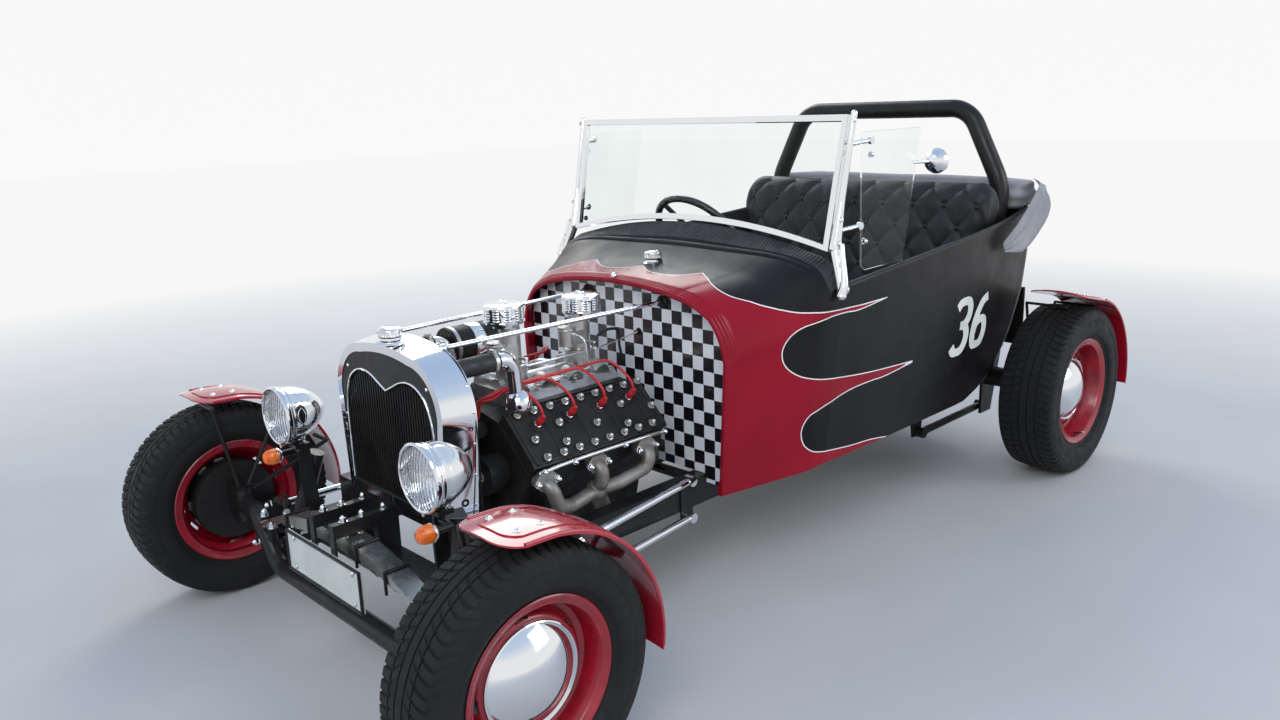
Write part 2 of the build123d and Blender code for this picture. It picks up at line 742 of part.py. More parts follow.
def floor():
    """Floor on the rails, with the tunnel over the gearbox and drive shaft."""
    start = FIREWALL + FIREWALL_THICK + SEAT
    end = FLOOR_END
    panels = None
    for low, high, half in ((start, COWL_REAR, 396), (COWL_REAR, end, 500)):
        outline = [(low, rail_top(low) + SEAT), (high, rail_top(high) + SEAT),
                   (high, rail_top(high) + FLOOR_THICK), (low, rail_top(low) + FLOOR_THICK)]
        panel = plate_x(outline, (-half, half))
        panels = panel if panels is None else panels + panel
    cover = block((-TUNNEL_HALF, TUNNEL_HALF), (aft(start), aft(end)), (rail_top(start) + 1, TUNNEL_Z))
    hollow = tunnel(TUNNEL_HALF - 8, TUNNEL_Z - 8)
    return panels + cover - hollow


def belt(station):
    """Height of the tub's top edge."""
    for (start, _, _, start_z), (end, _, _, end_z) in zip(TUB_SECTIONS, TUB_SECTIONS[1:]):
        if station <= end:
            return start_z + (end_z - start_z) * (station - start) / (end - start)


def tub_loft(inset, above):
    """Sides of the tub as a closed loft, through a few sections with bowed sides."""
    sections = []
    for station, half_low, half_belt, belt_z in TUB_SECTIONS:
        y = aft(station)
        low_z = rail_top(station) + SEAT - (40 if inset else 0)
        top_z = belt_z + above
        low = half_low - inset
        high = half_belt - inset
        mid = (low + high) / 2 + TUB_BOW
        mid_z = (low_z + top_z) / 2
        sections.append(make_face([
            Line((-low, y, low_z), (low, y, low_z)),
            ThreePointArc((low, y, low_z), (mid, y, mid_z), (high, y, top_z)),
            Line((high, y, top_z), (-high, y, top_z)),
            ThreePointArc((-high, y, top_z), (-mid, y, mid_z), (-low, y, low_z))]))
    return loft(sections, ruled=True)


def tub_profile(inset):
    """Side view of the tub: flat under the floor, then curving up behind the seat."""
    tail = zip(TUB_TAIL, TAIL_NORMALS)
    rear = [(station - back * inset, z + up * inset) for (station, z), (back, up) in tail]
    low_z = 200
    start = COWL_REAR - 5
    points = [(start, low_z), (rear[0][0], low_z)] + rear + [(rear[-1][0], ABOVE), (start, ABOVE)]
    return plate_x(points, (-OUTSIDE, OUTSIDE))


def tub_plan(inset):
    """Plan view of the tub, with rounded rear corners."""
    half = 640
    front = aft(COWL_REAR) - 5
    end = aft(TUB_REAR) - inset
    flat = TUB_BACK_HALF - inset - 100
    corner = [(flat + 122, end - TUB_CORNER + inset), (flat + 82, end - 26), (flat, end)]
    edges = [Polyline((-half, front), (half, front), (half, end - 320), corner[0]), ThreePointArc(*corner)]
    back = [(-x, y) for x, y in reversed(corner)]
    edges += [Line(corner[2], back[0]), ThreePointArc(*back)]
    edges += [Polyline(back[2], (-half, end - 320), (-half, front))]
    return Pos(0, 0, 100) * extrude(make_face(edges), amount=ABOVE, dir=(0, 0, 1))


def body_tub():
    outer = tub_loft(0, 0) & tub_profile(0) & tub_plan(0)
    inner = tub_loft(TUB_WALL, 60) & tub_profile(TUB_WALL) & tub_plan(TUB_WALL)
    inner += block((-TUB_SECTIONS[0][1] + TUB_WALL, TUB_SECTIONS[0][1] - TUB_WALL),
                   (aft(COWL_REAR) - 4, aft(COWL_REAR) + 1), (200, 840))
    return outer - inner


# Windscreen

def screen_plane():
    lean = radians(SCREEN_LEAN)
    facing = (0, -cos(lean), sin(lean))
    return Plane(origin=(0, aft(COWL_REAR), SCREEN_BASE_Z), x_dir=(1, 0, 0), z_dir=facing)


def screen_outline(inset):
    """Outline of the screen in its own plane: curved foot, straight sides and top."""
    low_half = SCREEN_HALF - 4 - inset
    high_half = SCREEN_HALF + 6 - inset
    crown = SCREEN_CROWN + inset
    top = SCREEN_HEIGHT - inset
    return make_face([
        ThreePointArc((-low_half, inset), (0, crown), (low_half, inset)),
        Polyline((low_half, inset), (high_half, top), (-high_half, top), (-low_half, inset))])


def windscreen():
    plane = screen_plane()
    ring = screen_outline(0) - screen_outline(SCREEN_BAR)
    frame = plane * extrude(ring, amount=SCREEN_BAR / 2, both=True)
    glass = plane * extrude(screen_outline(SCREEN_BAR + SEAT), amount=GLASS_THICK / 2, both=True)
    return frame, glass


def screen_post():
    """Left stanchion: a flared foot on the cowl's shoulder and a tapering post beside the frame."""
    plane = screen_plane()
    x_low = SCREEN_HALF + 14
    x_high = SCREEN_HALF + 20
    low = plane.from_local_coords((x_low, 10, 0))
    high = plane.from_local_coords((x_high, SCREEN_HEIGHT + 4, 0))
    post = bar(low, high, POST_R)
    flare = Cone(POST_FOOT_R, POST_R, 130, align=(Align.CENTER, Align.CENTER, Align.MIN))
    post += Plane(origin=low, z_dir=high - low) * flare
    post += bar((606, aft(COWL_REAR - 24), 848), low, POST_FOOT_R - 2)
    post += Pos(*low) * Sphere(POST_FOOT_R)
    post += Pos(*high) * Sphere(POST_R)
    for up in WING_CLIPS:
        foot = plane.from_local_coords((x_low + 2, up, 0))
        y, z = foot.Y + 78, foot.Z + 8
        post += bar(foot, (WING_X - 6, y, z), 6)
        post += bar((WING_X - 10, y, z), (WING_X - SEAT, y, z), 11)
    return post - cowl_loft(0)


def wind_wing():
    """Left frameless wing with its two clips to the post."""
    corners = [(1362, 916), (1378, 900), (1581, 904), (1660, 1290), (1350, 1287)]
    return plate_x(corners, (WING_X, WING_X + GLASS_THICK))


# Roll hoop, seats and trim

def roll_hoop():
    y = aft(HOOP_STATION)
    right = [(HOOP_TOP_HALF, y, HOOP_TOP_Z), (HOOP_WAIST_X, y, 1060), (HOOP_FOOT_X, y, HOOP_FOOT_Z)]
    left = [(-x, yy, z) for x, yy, z in reversed(right)]
    hoop = bent_tube(left + right, HOOP_R, [200, 110, 110, 200])
    below = wide_block(TUB_TAIL[0][0], TUB_REAR, 0, ABOVE) - tub_profile(TUB_WALL + SEAT)
    return hoop - below


def seat_base():
    low = rail_top(SEAT_BACK) + FLOOR_THICK + SEAT
    cushion = block((-SEAT_HALF, SEAT_HALF), stations(SEAT_FRONT, SEAT_BACK), (TUNNEL_Z + SEAT, SEAT_Z))
    for side in (-1, 1):
        x_span = beside(side, TUNNEL_HALF + 2, SEAT_HALF)
        cushion += block(x_span, stations(SEAT_FRONT + 20, SEAT_BACK), (low, TUNNEL_Z + 20))
    return cushion


def seat_back():
    back = SEAT_BACK + 115
    lower = plate_x([
        (SEAT_BACK + SEAT, 420),
        (SEAT_BACK + 85, 420),
        (back + 90, 975),
        (back, 975),
    ], (-SEAT_HALF - 4, SEAT_HALF + 4))
    upper = plate_x([
        (back, 975),
        (back + 90, 975),
        (back + 125, 1040),
        (back + 110, 1080),
        (back + 70, SEAT_TOP_Z),
        (back + 35, 1080),
    ], (-ROLL_HALF, ROLL_HALF))
    return lower + upper - tunnel(TUNNEL_HALF + 1, TUNNEL_Z + SEAT)


def rear_panel():
    """Flat panel under the tub's tail, with a top flange to the tub and tabs to the rails."""
    back = stations(TUB_REAR - 12, TUB_REAR)
    panel = block((-515, 515), back, (PANEL_LOW_Z, PANEL_TOP_Z))
    panel += block((-505, 505), stations(TUB_REAR - 52, TUB_REAR), (PANEL_TOP_Z - 12, PANEL_TOP_Z))
    for side in (-1, 1):
        tab = beside(side, RAIL_X - 20, RAIL_X + 20)
        panel += block(tab, back, (KICK_TOP_Z + SEAT, PANEL_LOW_Z + 6))
    return panel - tub_profile(-SEAT)


def hood_boot():
    """Folded hood in its boot behind the seat."""
    front = TUB_REAR - 168
    back = TUB_REAR - 2
    return plate_x([
        (front, belt(front) + SEAT),
        (back, belt(back) + SEAT),
        (back + 10, 1050),
        (back - 30, BOOT_TOP_Z),
        (front + 26, BOOT_TOP_Z),
        (front, 1050),
    ], (-ROLL_HALF + 4, ROLL_HALF - 4))


# Radiator, lamps and plate

def shell_outline(half, low_half, crown_z, inset):
    """Front view of the radiator shell: straight sides into a three-arc crown."""
    half -= inset
    low_half -= inset
    low_z = SHELL_LOW_Z + inset
    crown_z -= inset
    side_z = SHELL_SIDE_Z
    corner = (half, 0, side_z)
    bend = (half * 0.86, 0, (side_z + crown_z) / 2 + 32)
    brow = (half * 0.5, 0, crown_z - 12)
    left = [(-x, 0, z) for x, _, z in (brow, bend, corner)]
    return make_face([
        Polyline(left[2], (-low_half, 0, low_z), (low_half, 0, low_z), corner),
        ThreePointArc(corner, bend, brow),
        ThreePointArc(brow, (0, 0, crown_z), left[0]),
        ThreePointArc(*left),
    ])


def shell_loft(inset):
    front = Pos(0, aft(GRILLE_FRONT), 0) * shell_outline(*SHELL_FRONT, inset)
    rear = Pos(0, aft(GRILLE_REAR), 0) * shell_outline(*SHELL_REAR, inset)
    return loft([front, rear], ruled=True)


def radiator_shell():
    """Chrome shell: a deep band round the core with a narrow return at the front."""
    deep = wide_block(GRILLE_FRONT + SHELL_LIP_DEPTH, GRILLE_REAR + 5, 0, 1000)
    through = wide_block(GRILLE_FRONT - 5, GRILLE_REAR + 5, SHELL_LOW_Z + SHELL_LIP - 2, 1000)
    return shell_loft(0) - (shell_loft(SHELL_WALL) & deep) - (shell_loft(SHELL_LIP) & through)


def radiator_face():
    """Black front plate inside the shell's lip, open below two arches that meet in a point."""
    front = Pos(0, aft(GRILLE_FRONT + 2), 0) * shell_outline(*SHELL_FRONT, SHELL_LIP + SEAT)
    plate = extrude(front, amount=8, dir=(0, 1, 0))
    side_x, top_x = FACE_SIDE_X, FACE_TOP_X
    low_z = SHELL_LOW_Z + 30
    spring_z = SHELL_SIDE_Z - 40
    for side in (-1, 1):
        foot = (side * (side_x - 8), 0, low_z)
        spring = (side * side_x, 0, spring_z)
        top = (side * top_x, 0, FACE_TOP_Z)
        point = (0, 0, FACE_POINT_Z)
        opening = make_face([
            Line(spring, foot),
            Line(foot, (0, 0, low_z)),
            Line((0, 0, low_z), point),
            ThreePointArc(point, (side * top_x * 0.55, 0, FACE_TOP_Z - 9), top),
            ThreePointArc(top, (side * (side_x - 28), 0, FACE_TOP_Z - 32), spring),
        ])
        plate -= Pos(0, aft(GRILLE_FRONT), 0) * extrude(opening, amount=20, dir=(0, 1, 0))
    return plate


def radiator_core():
    start = GRILLE_FRONT + SHELL_LIP_DEPTH + SEAT
    return shell_loft(SHELL_WALL + SEAT) & wide_block(start, GRILLE_REAR - CORE_SET_IN, SHELL_LOW_Z + 4, 1000)


def cap(centre, radius, height):
    """Filler cap: a neck with a wider lid."""
    x, y, z = centre
    split = z + 0.4 * height
    return bar(centre, (x, y, split), radius * 0.72) + bar((x, y, split), (x, y, z + height), radius)


def support_rod():
    return bar((132, aft(GRILLE_REAR + SEAT), 814), (164, aft(FIREWALL - SEAT), 819), 6)


def lamp_form(inset):
    """Left lamp's bullet form, inset all round."""
    outside = [  # along, radius
        (0, LAMP_R), (22, LAMP_R), (30, LAMP_R - 2), (58, 76), (96, 60), (126, 36), (138, 12)]
    shrunk = [(along - inset * along / 60, radius - inset) for along, radius in outside]
    front = [(-2 * inset, 0), (-2 * inset, LAMP_R - inset)]
    profile = front + shrunk[1:] + [(140 - 2 * inset, 0)]
    return turned_about(profile, (LAMP_X, aft(LAMP_STATION), LAMP_Z), (0, 1, 0))


def headlight():
    """Left bullet shell, hollow behind the lens."""
    start, end = stations(LAMP_STATION - 5, LAMP_STATION + 20)
    mouth = bar((LAMP_X, start, LAMP_Z), (LAMP_X, end, LAMP_Z), LENS_R + 1)
    behind_lip = wide_block(LAMP_STATION + LAMP_LIP, LAMP_STATION + 200, 400, 800)
    return lamp_form(0) - (lamp_form(LAMP_WALL) & behind_lip) - mouth


def lamp_lens():
    """Left lens, domed forward, seated behind the shell's lip."""
    seat = LAMP_LIP + SEAT
    flange_r = LAMP_R - LAMP_WALL - SEAT
    profile = [  # along, radius
        (-9, 0), (-6, 36), (1, LENS_R - 3), (seat, LENS_R), (seat, flange_r),
        (seat + 4, flange_r), (seat + 4, LENS_R - 3), (-1, 36), (-4, 0)]
    return turned_about(profile, (LAMP_X, aft(LAMP_STATION), LAMP_Z), (0, 1, 0))


def lamp_stand():
    """Left black stand from the rail's nose to the lamp, with the turn lamp's stalk."""
    outer = RAIL_X + RAIL_WIDTH / 2
    top = LAMP_Z - LAMP_R - SEAT
    outline = [(62, 240), (110, 240), (96, 420), (90, top - 14), (62, top - 14), (56, 420)]
    stand = plate_x(outline, (outer + SEAT, outer + 8))
    shelf_y = stations(LAMP_STATION + 36, LAMP_STATION + 78)
    stand += block((outer + SEAT, LAMP_X + 16), shelf_y, (top - 16, top - 4))
    stand += Pos(LAMP_X, aft(LAMP_STATION + 50), top + 8) * Cylinder(12, 40)
    stalk_y = aft(LAMP_STATION + 58)
    lamp_y = aft(INDICATOR_STATION + SEAT)
    stand += bar((outer + 4, stalk_y, INDICATOR_Z), (INDICATOR_X, stalk_y, INDICATOR_Z), 7)
    stand += bar((INDICATOR_X, lamp_y, INDICATOR_Z), (INDICATOR_X, stalk_y, INDICATOR_Z), 10)
    return stand - lamp_form(0)


def shock():
    """Left front damper between the stand and the axle."""
    high = (LAMP_X - 4, aft(118), 470)
    low = (AXLE_DROP_X + 14, aft(52), SHOCK_LOW_Z)
    mid = tuple((a + 2 * b) / 3 for a, b in zip(high, low))
    return bar(low, high, 11) + bar(mid, high, 23)


def indicator():
    """Left ribbed turn lamp."""
    profile = [(0, 0), (0, 20), (8, 22), (16, 20), (24, 22), (32, 20), (40, 21), (50, 14), (54, 0)]
    return turned_about(profile, (INDICATOR_X, aft(INDICATOR_STATION), INDICATOR_Z), (0, -1, 0))


def number_plate():
    """Blank plate with a raised rim, screwed to its two arms."""
    low_z = PLATE_TOP_Z - PLATE_DEPTH
    plate_y = stations(PLATE_STATION, PLATE_STATION + PLATE_THICK - SEAT)
    plate = block((-PLATE_HALF, PLATE_HALF), plate_y, (low_z, PLATE_TOP_Z))
    inner = PLATE_HALF - PLATE_RIM
    recess_y = stations(PLATE_STATION - 1, PLATE_STATION + 2)
    plate -= block((-inner, inner), recess_y, (low_z + PLATE_RIM, PLATE_TOP_Z - PLATE_RIM))
    hole_z = PLATE_TOP_Z - 14
    for x in (-PLATE_HOLE_X, PLATE_HOLE_X):
        plate -= bar((x, aft(PLATE_STATION - 5), hole_z), (x, aft(PLATE_STATION + 20), hole_z), PLATE_HOLE_R)
    return plate


def tail_lamp():
    """Left round lamp on the rear arch."""
    profile = [(0, 0), (0, 36), (6, TAIL_LAMP_R), (30, TAIL_LAMP_R), (34, TAIL_LAMP_R - 8), (40, 0)]
    return turned_about(profile, (TAIL_LAMP_X, aft(RAIL_END + SEAT), TAIL_LAMP_Z), (0, 1, 0))


# Engine

def engine_block():
    """Vee block on its sump, with the crank and pump pulleys and the engine's feet."""
    deck = [(244, 469), (128, 585), (60, VALLEY_Z)]
    sump = [(236, 430), (150, 330), (120, 205)]
    right = list(reversed(deck)) + sump
    left = [(-x, z) for x, z in reversed(right)]
    case = plate_y(right + left, stations(BLOCK_FRONT, BLOCK_REAR))
    nose = aft(BLOCK_FRONT + 5)
    case += bar((0, aft(BLOCK_FRONT - 40), CRANK_Z), (0, nose, CRANK_Z), CRANK_PULLEY_R)
    for side in (-1, 1):
        x = side * PUMP_X
        case += bar((x, aft(BLOCK_FRONT - 60), PUMP_Z), (x, nose, PUMP_Z), PUMP_PULLEY_R)
        foot = beside(side, 130, RAIL_X - RAIL_WIDTH / 2 - SEAT)
        case += block(foot, stations(480, 540), (262, 300))
    return case


def cylinder_head():
    """Left head: a slab on the sloping deck, with its edge chamfered and its cooling bosses."""
    (low_x, low_z), (high_x, high_z) = HEAD_LOW, HEAD_HIGH
    inset = HEAD_THICK * sqrt(0.5) - SEAT
    cut = 6
    outline = [(low_x - inset, low_z - inset), (low_x, low_z - cut), (low_x - cut, low_z + cut),
               (high_x + cut, high_z - cut), (high_x - cut, high_z), (high_x - inset, high_z - inset)]
    return plate_y(outline, (aft(HEAD_FRONT), aft(HEAD_REAR)))


def intake():
    """Manifold over the valley, with a riser for each carburettor."""
    low = VALLEY_Z + SEAT
    outline = [(-112, low), (112, low), (112, 612), (86, 640), (-86, 640), (-112, 612)]
    plate = plate_y(outline, stations(470, 850))
    for station in CARB_STATIONS:
        plate += bar((0, aft(station), 638), (0, aft(station), CARB_FOOT_Z), 44)
    return plate


def carburettor(station, top_z):
    """Carburettor with its float bowl ahead and its throttle shaft across."""
    y = aft(station)
    body = bar((0, y, CARB_FOOT_Z + SEAT), (0, y, top_z - SEAT), 30)
    body += bar((0, y - 46, 707), (0, y - 46, 763), 26)
    body += block((-30, 30), (y - 50, y), (712, 752))
    body += bar((-48, y + 14, 712), (48, y + 14, 712), 5)
    return body


def air_cleaner(station, top_z):
    """Round cleaner: clamp ring, louvred drum and lid."""
    y = aft(station)
    drum = bar((0, y, top_z - 72), (0, y, top_z - 60), 34)
    drum += bar((0, y, top_z - 60), (0, y, top_z - 12), CLEANER_R)
    return drum + bar((0, y, top_z - 12), (0, y, top_z), CLEANER_R - 5.5)


def generator():
    """Generator on the right of the manifold, with its pulley and its arm."""
    start, end = stations(474, 654)
    x, z = GENERATOR_X, GENERATOR_Z
    body = bar((x, start, z), (x, end, z), GENERATOR_R)
    body += bar((x, start - 30, z), (x, start, z), 30)
    body += bar((-60, aft(505), 636), (x + 15, aft(505), z - 23), 10)
    riser = bar((0, aft(CARB_STATIONS[0]), 690), (0, aft(CARB_STATIONS[0]), 780), 60)
    return body - intake() - riser


def header():
    """Left header: three pipes into one collector that dives inside the rail."""
    merge_x, merge_station, merge_z = HEADER_MERGE
    merge = (merge_x, aft(merge_station), merge_z)
    front, middle, rear = PORT_STATIONS
    front_run = [(228, aft(front), 446), (298, aft(front), 440), (296, aft(front + 24), 378),
                 (284, aft(front + 72), 364), merge]
    middle_run = [(247, aft(middle), 452), (296, aft(middle + 1), 444), (290, aft(middle + 3), 402), merge]
    rear_run = [(228, aft(rear), 446), (298, aft(rear), 440), (294, aft(rear - 16), 398),
                (276, aft(rear - 104), 374), merge]
    end = aft(WHEELBASE - 495)
    tail_run = [merge, (240, aft(640), 330), (230, aft(700), 212), (TAIL_X, aft(1400), MUFFLER_Z),
                (TAIL_X, end, MUFFLER_Z)]
    pipes = bent_tube(tail_run, TAIL_PIPE_R, [40, 90, 300])
    for points, bends in ((front_run, [22, 22, 30]), (middle_run, [22, 14]), (rear_run, [22, 20, 30])):
        pipes += bent_tube(points, HEADER_R, bends)
    pipes += Pos(*merge) * Sphere(30)
    pipes += bar((TAIL_X, aft(1420), MUFFLER_Z), (TAIL_X, end - 100, MUFFLER_Z), MUFFLER_R)
    return pipes - engine_block()


def water_outlet():
    """Left chrome neck on the head, with its bulb, bent forward to the hose."""
    foot = (HOSE_X - 4, aft(452), 612)
    points = [foot, (HOSE_X, aft(440), HOSE_Z), (HOSE_X, aft(HOSE_START - NECK_IN_HOSE), HOSE_Z)]
    neck = bent_tube(points, NECK_R, [46])
    neck += Pos(foot[0] + 8, foot[1], foot[2] + 20) * Sphere(36)
    return neck - cylinder_head() - engine_block()


def hose():
    """Left top hose, from the neck to the radiator."""
    end = aft(GRILLE_REAR - CORE_SET_IN + SEAT)
    bore_end = aft(HOSE_START - NECK_IN_HOSE - SEAT)
    tube = bar((HOSE_X, aft(HOSE_START), HOSE_Z), (HOSE_X, end, HOSE_Z), HOSE_R)
    return tube - bar((HOSE_X, aft(HOSE_START + 5), HOSE_Z), (HOSE_X, bore_end, HOSE_Z), NECK_R + SEAT)


def distributor():
    """Flat distributor on the engine's nose, with its two lead towers."""
    y = aft(BLOCK_FRONT - SEAT)
    case = bar((0, y, DISTRIBUTOR_Z), (0, y - 44, DISTRIBUTOR_Z), DISTRIBUTOR_R)
    for side in (-1, 1):
        case += bar((side * 30, y - 26, DISTRIBUTOR_Z + 12), (side * 82, y - 26, DISTRIBUTOR_Z + 34), 24)
    return case


def gearbox():
    """Bell housing, gearbox and drive shaft."""
    y = aft(BLOCK_REAR + SEAT)
    profile = [  # along, radius
        (0, 0), (0, 112), (40, 112), (90, 92), (120, 78), (420, 74), (560, 50), (600, 30), (600, 0)]
    box = turned_about(profile, (0, y, CRANK_Z), (0, 1, 0))
    shaft_end = aft(WHEELBASE - PINION_REACH) - SHAFT_GAP
    return box + bar((0, y + 580, CRANK_Z), (0, shaft_end, REAR_AXLE_Z), 22)


# Steering wheel and mirror

def column_plane():
    return Plane(origin=STEER_CENTRE, z_dir=STEER_AXIS)


def steering_column():
    plane = column_plane()
    top = plane.from_local_coords((0, 0, -19 - SEAT))
    low = plane.from_local_coords((0, 0, -860))
    ahead = wide_block(FIREWALL - 300, FIREWALL + FIREWALL_THICK + SEAT, 0, 900)
    return bar(low, top, 20) - ahead


def steering_wheel():
    plane = column_plane()
    wheel = Torus(STEER_R, 13) + Pos(0, 0, -6) * Cylinder(34, 26)
    for k in range(3):
        spoke = Pos(STEER_R / 2, 0, -4) * Box(STEER_R - 10, 24, 6)
        wheel += Rot(Z=90 + 120 * k) * spoke
    return plane * wheel


def mirror_head():
    """Ball-backed mirror on an arm from the left wing."""
    x, station, z = MIRROR_AT
    profile = [(0, 0), (0, 36), (10, 38), (22, 34), (36, 20), (42, 0)]  # along, radius
    head = turned_about(profile, (x, aft(station), z), (0, -1, 0))
    wing_face = WING_X + GLASS_THICK + SEAT
    arm = bar((wing_face, aft(station - 92), z), (x, aft(station - 16), z), 5)
    return head + arm - wind_wing()


NODES = {}


def node(name, *solids):
    NODES[name] = list(solids)


def place(shape, side, x, y, z):
    """Put an outboard-facing wheel piece on the left (1) or the right (-1)."""
    moved = Pos(x, y, z) * shape
    return moved if side > 0 else mirrored(moved)


def wheels():
    front_tyre = tyre(FRONT_TYRE_R, FRONT_TYRE_WIDTH, FRONT_SEAT_R, FRONT_FLANGE_R, FRONT_RIM_HALF)
    rear_tyre = tyre(REAR_TYRE_R, REAR_TYRE_WIDTH, REAR_SEAT_R, REAR_FLANGE_R, REAR_RIM_HALF)
    front_rim = rim(FRONT_SEAT_R, FRONT_FLANGE_R, FRONT_RIM_HALF)
    rear_rim = rim(REAR_SEAT_R, REAR_FLANGE_R, REAR_RIM_HALF)
    dome = hub_cap()
    for side, word in ((1, "left"), (-1, "right")):
        front_at = (side, FRONT_X, aft(0), FRONT_AXLE_Z)
        rear_at = (side, REAR_X, aft(WHEELBASE), REAR_AXLE_Z)
        node(f"front_tyre_{word}", place(front_tyre, *front_at))
        node(f"rear_tyre_{word}", place(rear_tyre, *rear_at))
        node(f"front_rim_{word}", place(front_rim, *front_at), place(dome, *front_at))
        node(f"rear_rim_{word}", place(rear_rim, *rear_at), place(dome, *rear_at))


def running_gear():
    node("front_axle", front_axle())
    node("leaf_springs", front_spring(), rear_spring())
    node("radius_rods", *radius_rods())
    left = knuckle()
    node("knuckle_left", left)
    node("knuckle_right", mirrored(left))
    node("tie_rod", tie_rod())
    front = fender(FRONT_FENDER_R, (FRONT_X - 95, FRONT_X + 95), -8.5, 88, 96, 60)
    front = Pos(0, aft(0), FRONT_AXLE_Z) * front
    node("front_fender_left", front)
    node("front_fender_right", mirrored(front))
    rear = fender(REAR_FENDER_R, (REAR_X - 90, REAR_X + 113), -6, 78, 226, 62)
    rear = Pos(0, aft(WHEELBASE), REAR_AXLE_Z) * rear
    node("rear_fenders", *pair(rear))
    node("rear_axle", rear_axle())
    node("rear_links", *rear_links())
    node("front_shocks", *pair(shock()))


def chassis():
    node("rails", *pair(rail()))
    node("crossmembers", *crossmembers())
    node("lamp_stands", *pair(lamp_stand()))
    node("headlights", *pair(headlight()))
    node("lamp_lenses", *pair(lamp_lens()), *pair(indicator()))
    node("number_plate", number_plate())
    node("tail_lamps", *pair(tail_lamp()))
    node("radiator_shell", radiator_shell())
    node("radiator_face", radiator_face())
    node("radiator_core", radiator_core())
    radiator_cap = cap((0, aft(183), 815), 34, 50) - shell_loft(0)
    tank_cap = cap((0, aft(CAP_STATION), 898), 27, 46) - cowl_loft(0)
    node("filler_caps", radiator_cap, tank_cap)
    node("support_rods", *pair(support_rod()))


def drivetrain():
    node("engine_block", engine_block())
    node("cylinder_heads", *pair(cylinder_head()))
    node("intake_manifold", intake())
    tops = list(zip(CARB_STATIONS, CLEANER_TOPS))
    node("carburettors", *[carburettor(station, top - 72) for station, top in tops])
    node("air_cleaners", *[air_cleaner(station, top) for station, top in tops])
    node("generator", generator())
    node("headers", *pair(header()))
    node("water_outlets", *pair(water_outlet()))
    node("water_hoses", *pair(hose()))
    node("distributor", distributor())
    node("gearbox", gearbox())


def body():
    node("cowl", cowl())
    node("firewall", firewall())
    node("dashboard", slab_in_cowl(COWL_REAR - 14, 13, 720, 1100))
    node("floor", floor())
    node("body_tub", body_tub(), rear_panel())
    frame, glass = windscreen()
    node("windscreen_frame", frame, *pair(screen_post()))
    node("windscreen_glass", glass)
    node("wind_wings", *pair(wind_wing()))
    node("roll_hoop", roll_hoop())
    node("seat", seat_base(), seat_back())
    node("hood_boot", hood_boot())
    node("steering_column", steering_column())
    node("steering_wheel", steering_wheel())
    node("mirror", mirror_head())


wheels()
running_gear()
chassis()
drivetrain()
body()
os.makedirs("parts", exist_ok=True)
for name, solids in NODES.items():
    export_step(Compound(children=solids), f"parts/{name}.step")
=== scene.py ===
import json
from math import atan2, cos, hypot, pi, radians, sin, sqrt

import bmesh
import bpy
import numpy as np
from mathutils import Matrix, Vector, noise
from mathutils.bvhtree import BVHTree


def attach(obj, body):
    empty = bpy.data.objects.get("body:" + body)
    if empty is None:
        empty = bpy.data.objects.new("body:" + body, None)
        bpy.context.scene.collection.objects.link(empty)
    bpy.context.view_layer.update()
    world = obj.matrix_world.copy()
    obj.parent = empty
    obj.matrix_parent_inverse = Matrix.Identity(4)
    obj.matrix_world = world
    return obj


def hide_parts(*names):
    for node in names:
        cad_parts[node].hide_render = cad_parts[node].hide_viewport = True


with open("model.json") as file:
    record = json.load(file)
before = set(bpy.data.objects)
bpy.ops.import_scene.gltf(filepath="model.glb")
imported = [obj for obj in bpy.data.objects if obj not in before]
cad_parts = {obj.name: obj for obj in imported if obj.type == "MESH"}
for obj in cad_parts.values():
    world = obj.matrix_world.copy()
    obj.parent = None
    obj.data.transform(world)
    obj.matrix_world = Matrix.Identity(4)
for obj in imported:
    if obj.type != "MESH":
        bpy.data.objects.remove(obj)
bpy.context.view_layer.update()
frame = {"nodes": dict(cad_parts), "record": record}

RECORD = frame["record"]
NODES = frame["nodes"]
JOINTS = {joint["name"]: joint for joint in RECORD["behaviour"]["joints"]}

# The axles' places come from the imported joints. Stations are millimetres aft of the front axle, and
# at() turns millimetres into the frame's metres.
AXLE_Y = JOINTS["steering_left"]["pos_m"][1]
FRONT_X, _, FRONT_Z = JOINTS["spin_front_left"]["pos_m"]
REAR_X, REAR_Y, REAR_Z = JOINTS["spin_rear_left"]["pos_m"]
MM = 0.001
LEFT, RIGHT = 1, -1
SIDES = (LEFT, RIGHT)
WORD = {LEFT: "left", RIGHT: "right"}
UP, AFT, AHEAD = Vector((0, 0, 1)), Vector((0, 1, 0)), Vector((0, -1, 0))


def at(x, station, z):
    """A point given by x, station aft of the front axle and z, all in millimetres."""
    return Vector((x * MM, AXLE_Y + station * MM, z * MM))


def smooth(low, high, value):
    """Smooth step from 0 at low to 1 at high."""
    t = min(1.0, max(0.0, (value - low) / (high - low)))
    return t * t * (3 - 2 * t)


def lerp_table(table, value):
    """Linear interpolation in a table of (place, value) rows."""
    places, values = zip(*table)
    return float(np.interp(value, places, values))


def turns(count):
    """Evenly spaced angles of a whole turn, in radians."""
    return [2 * pi * k / count for k in range(count)]


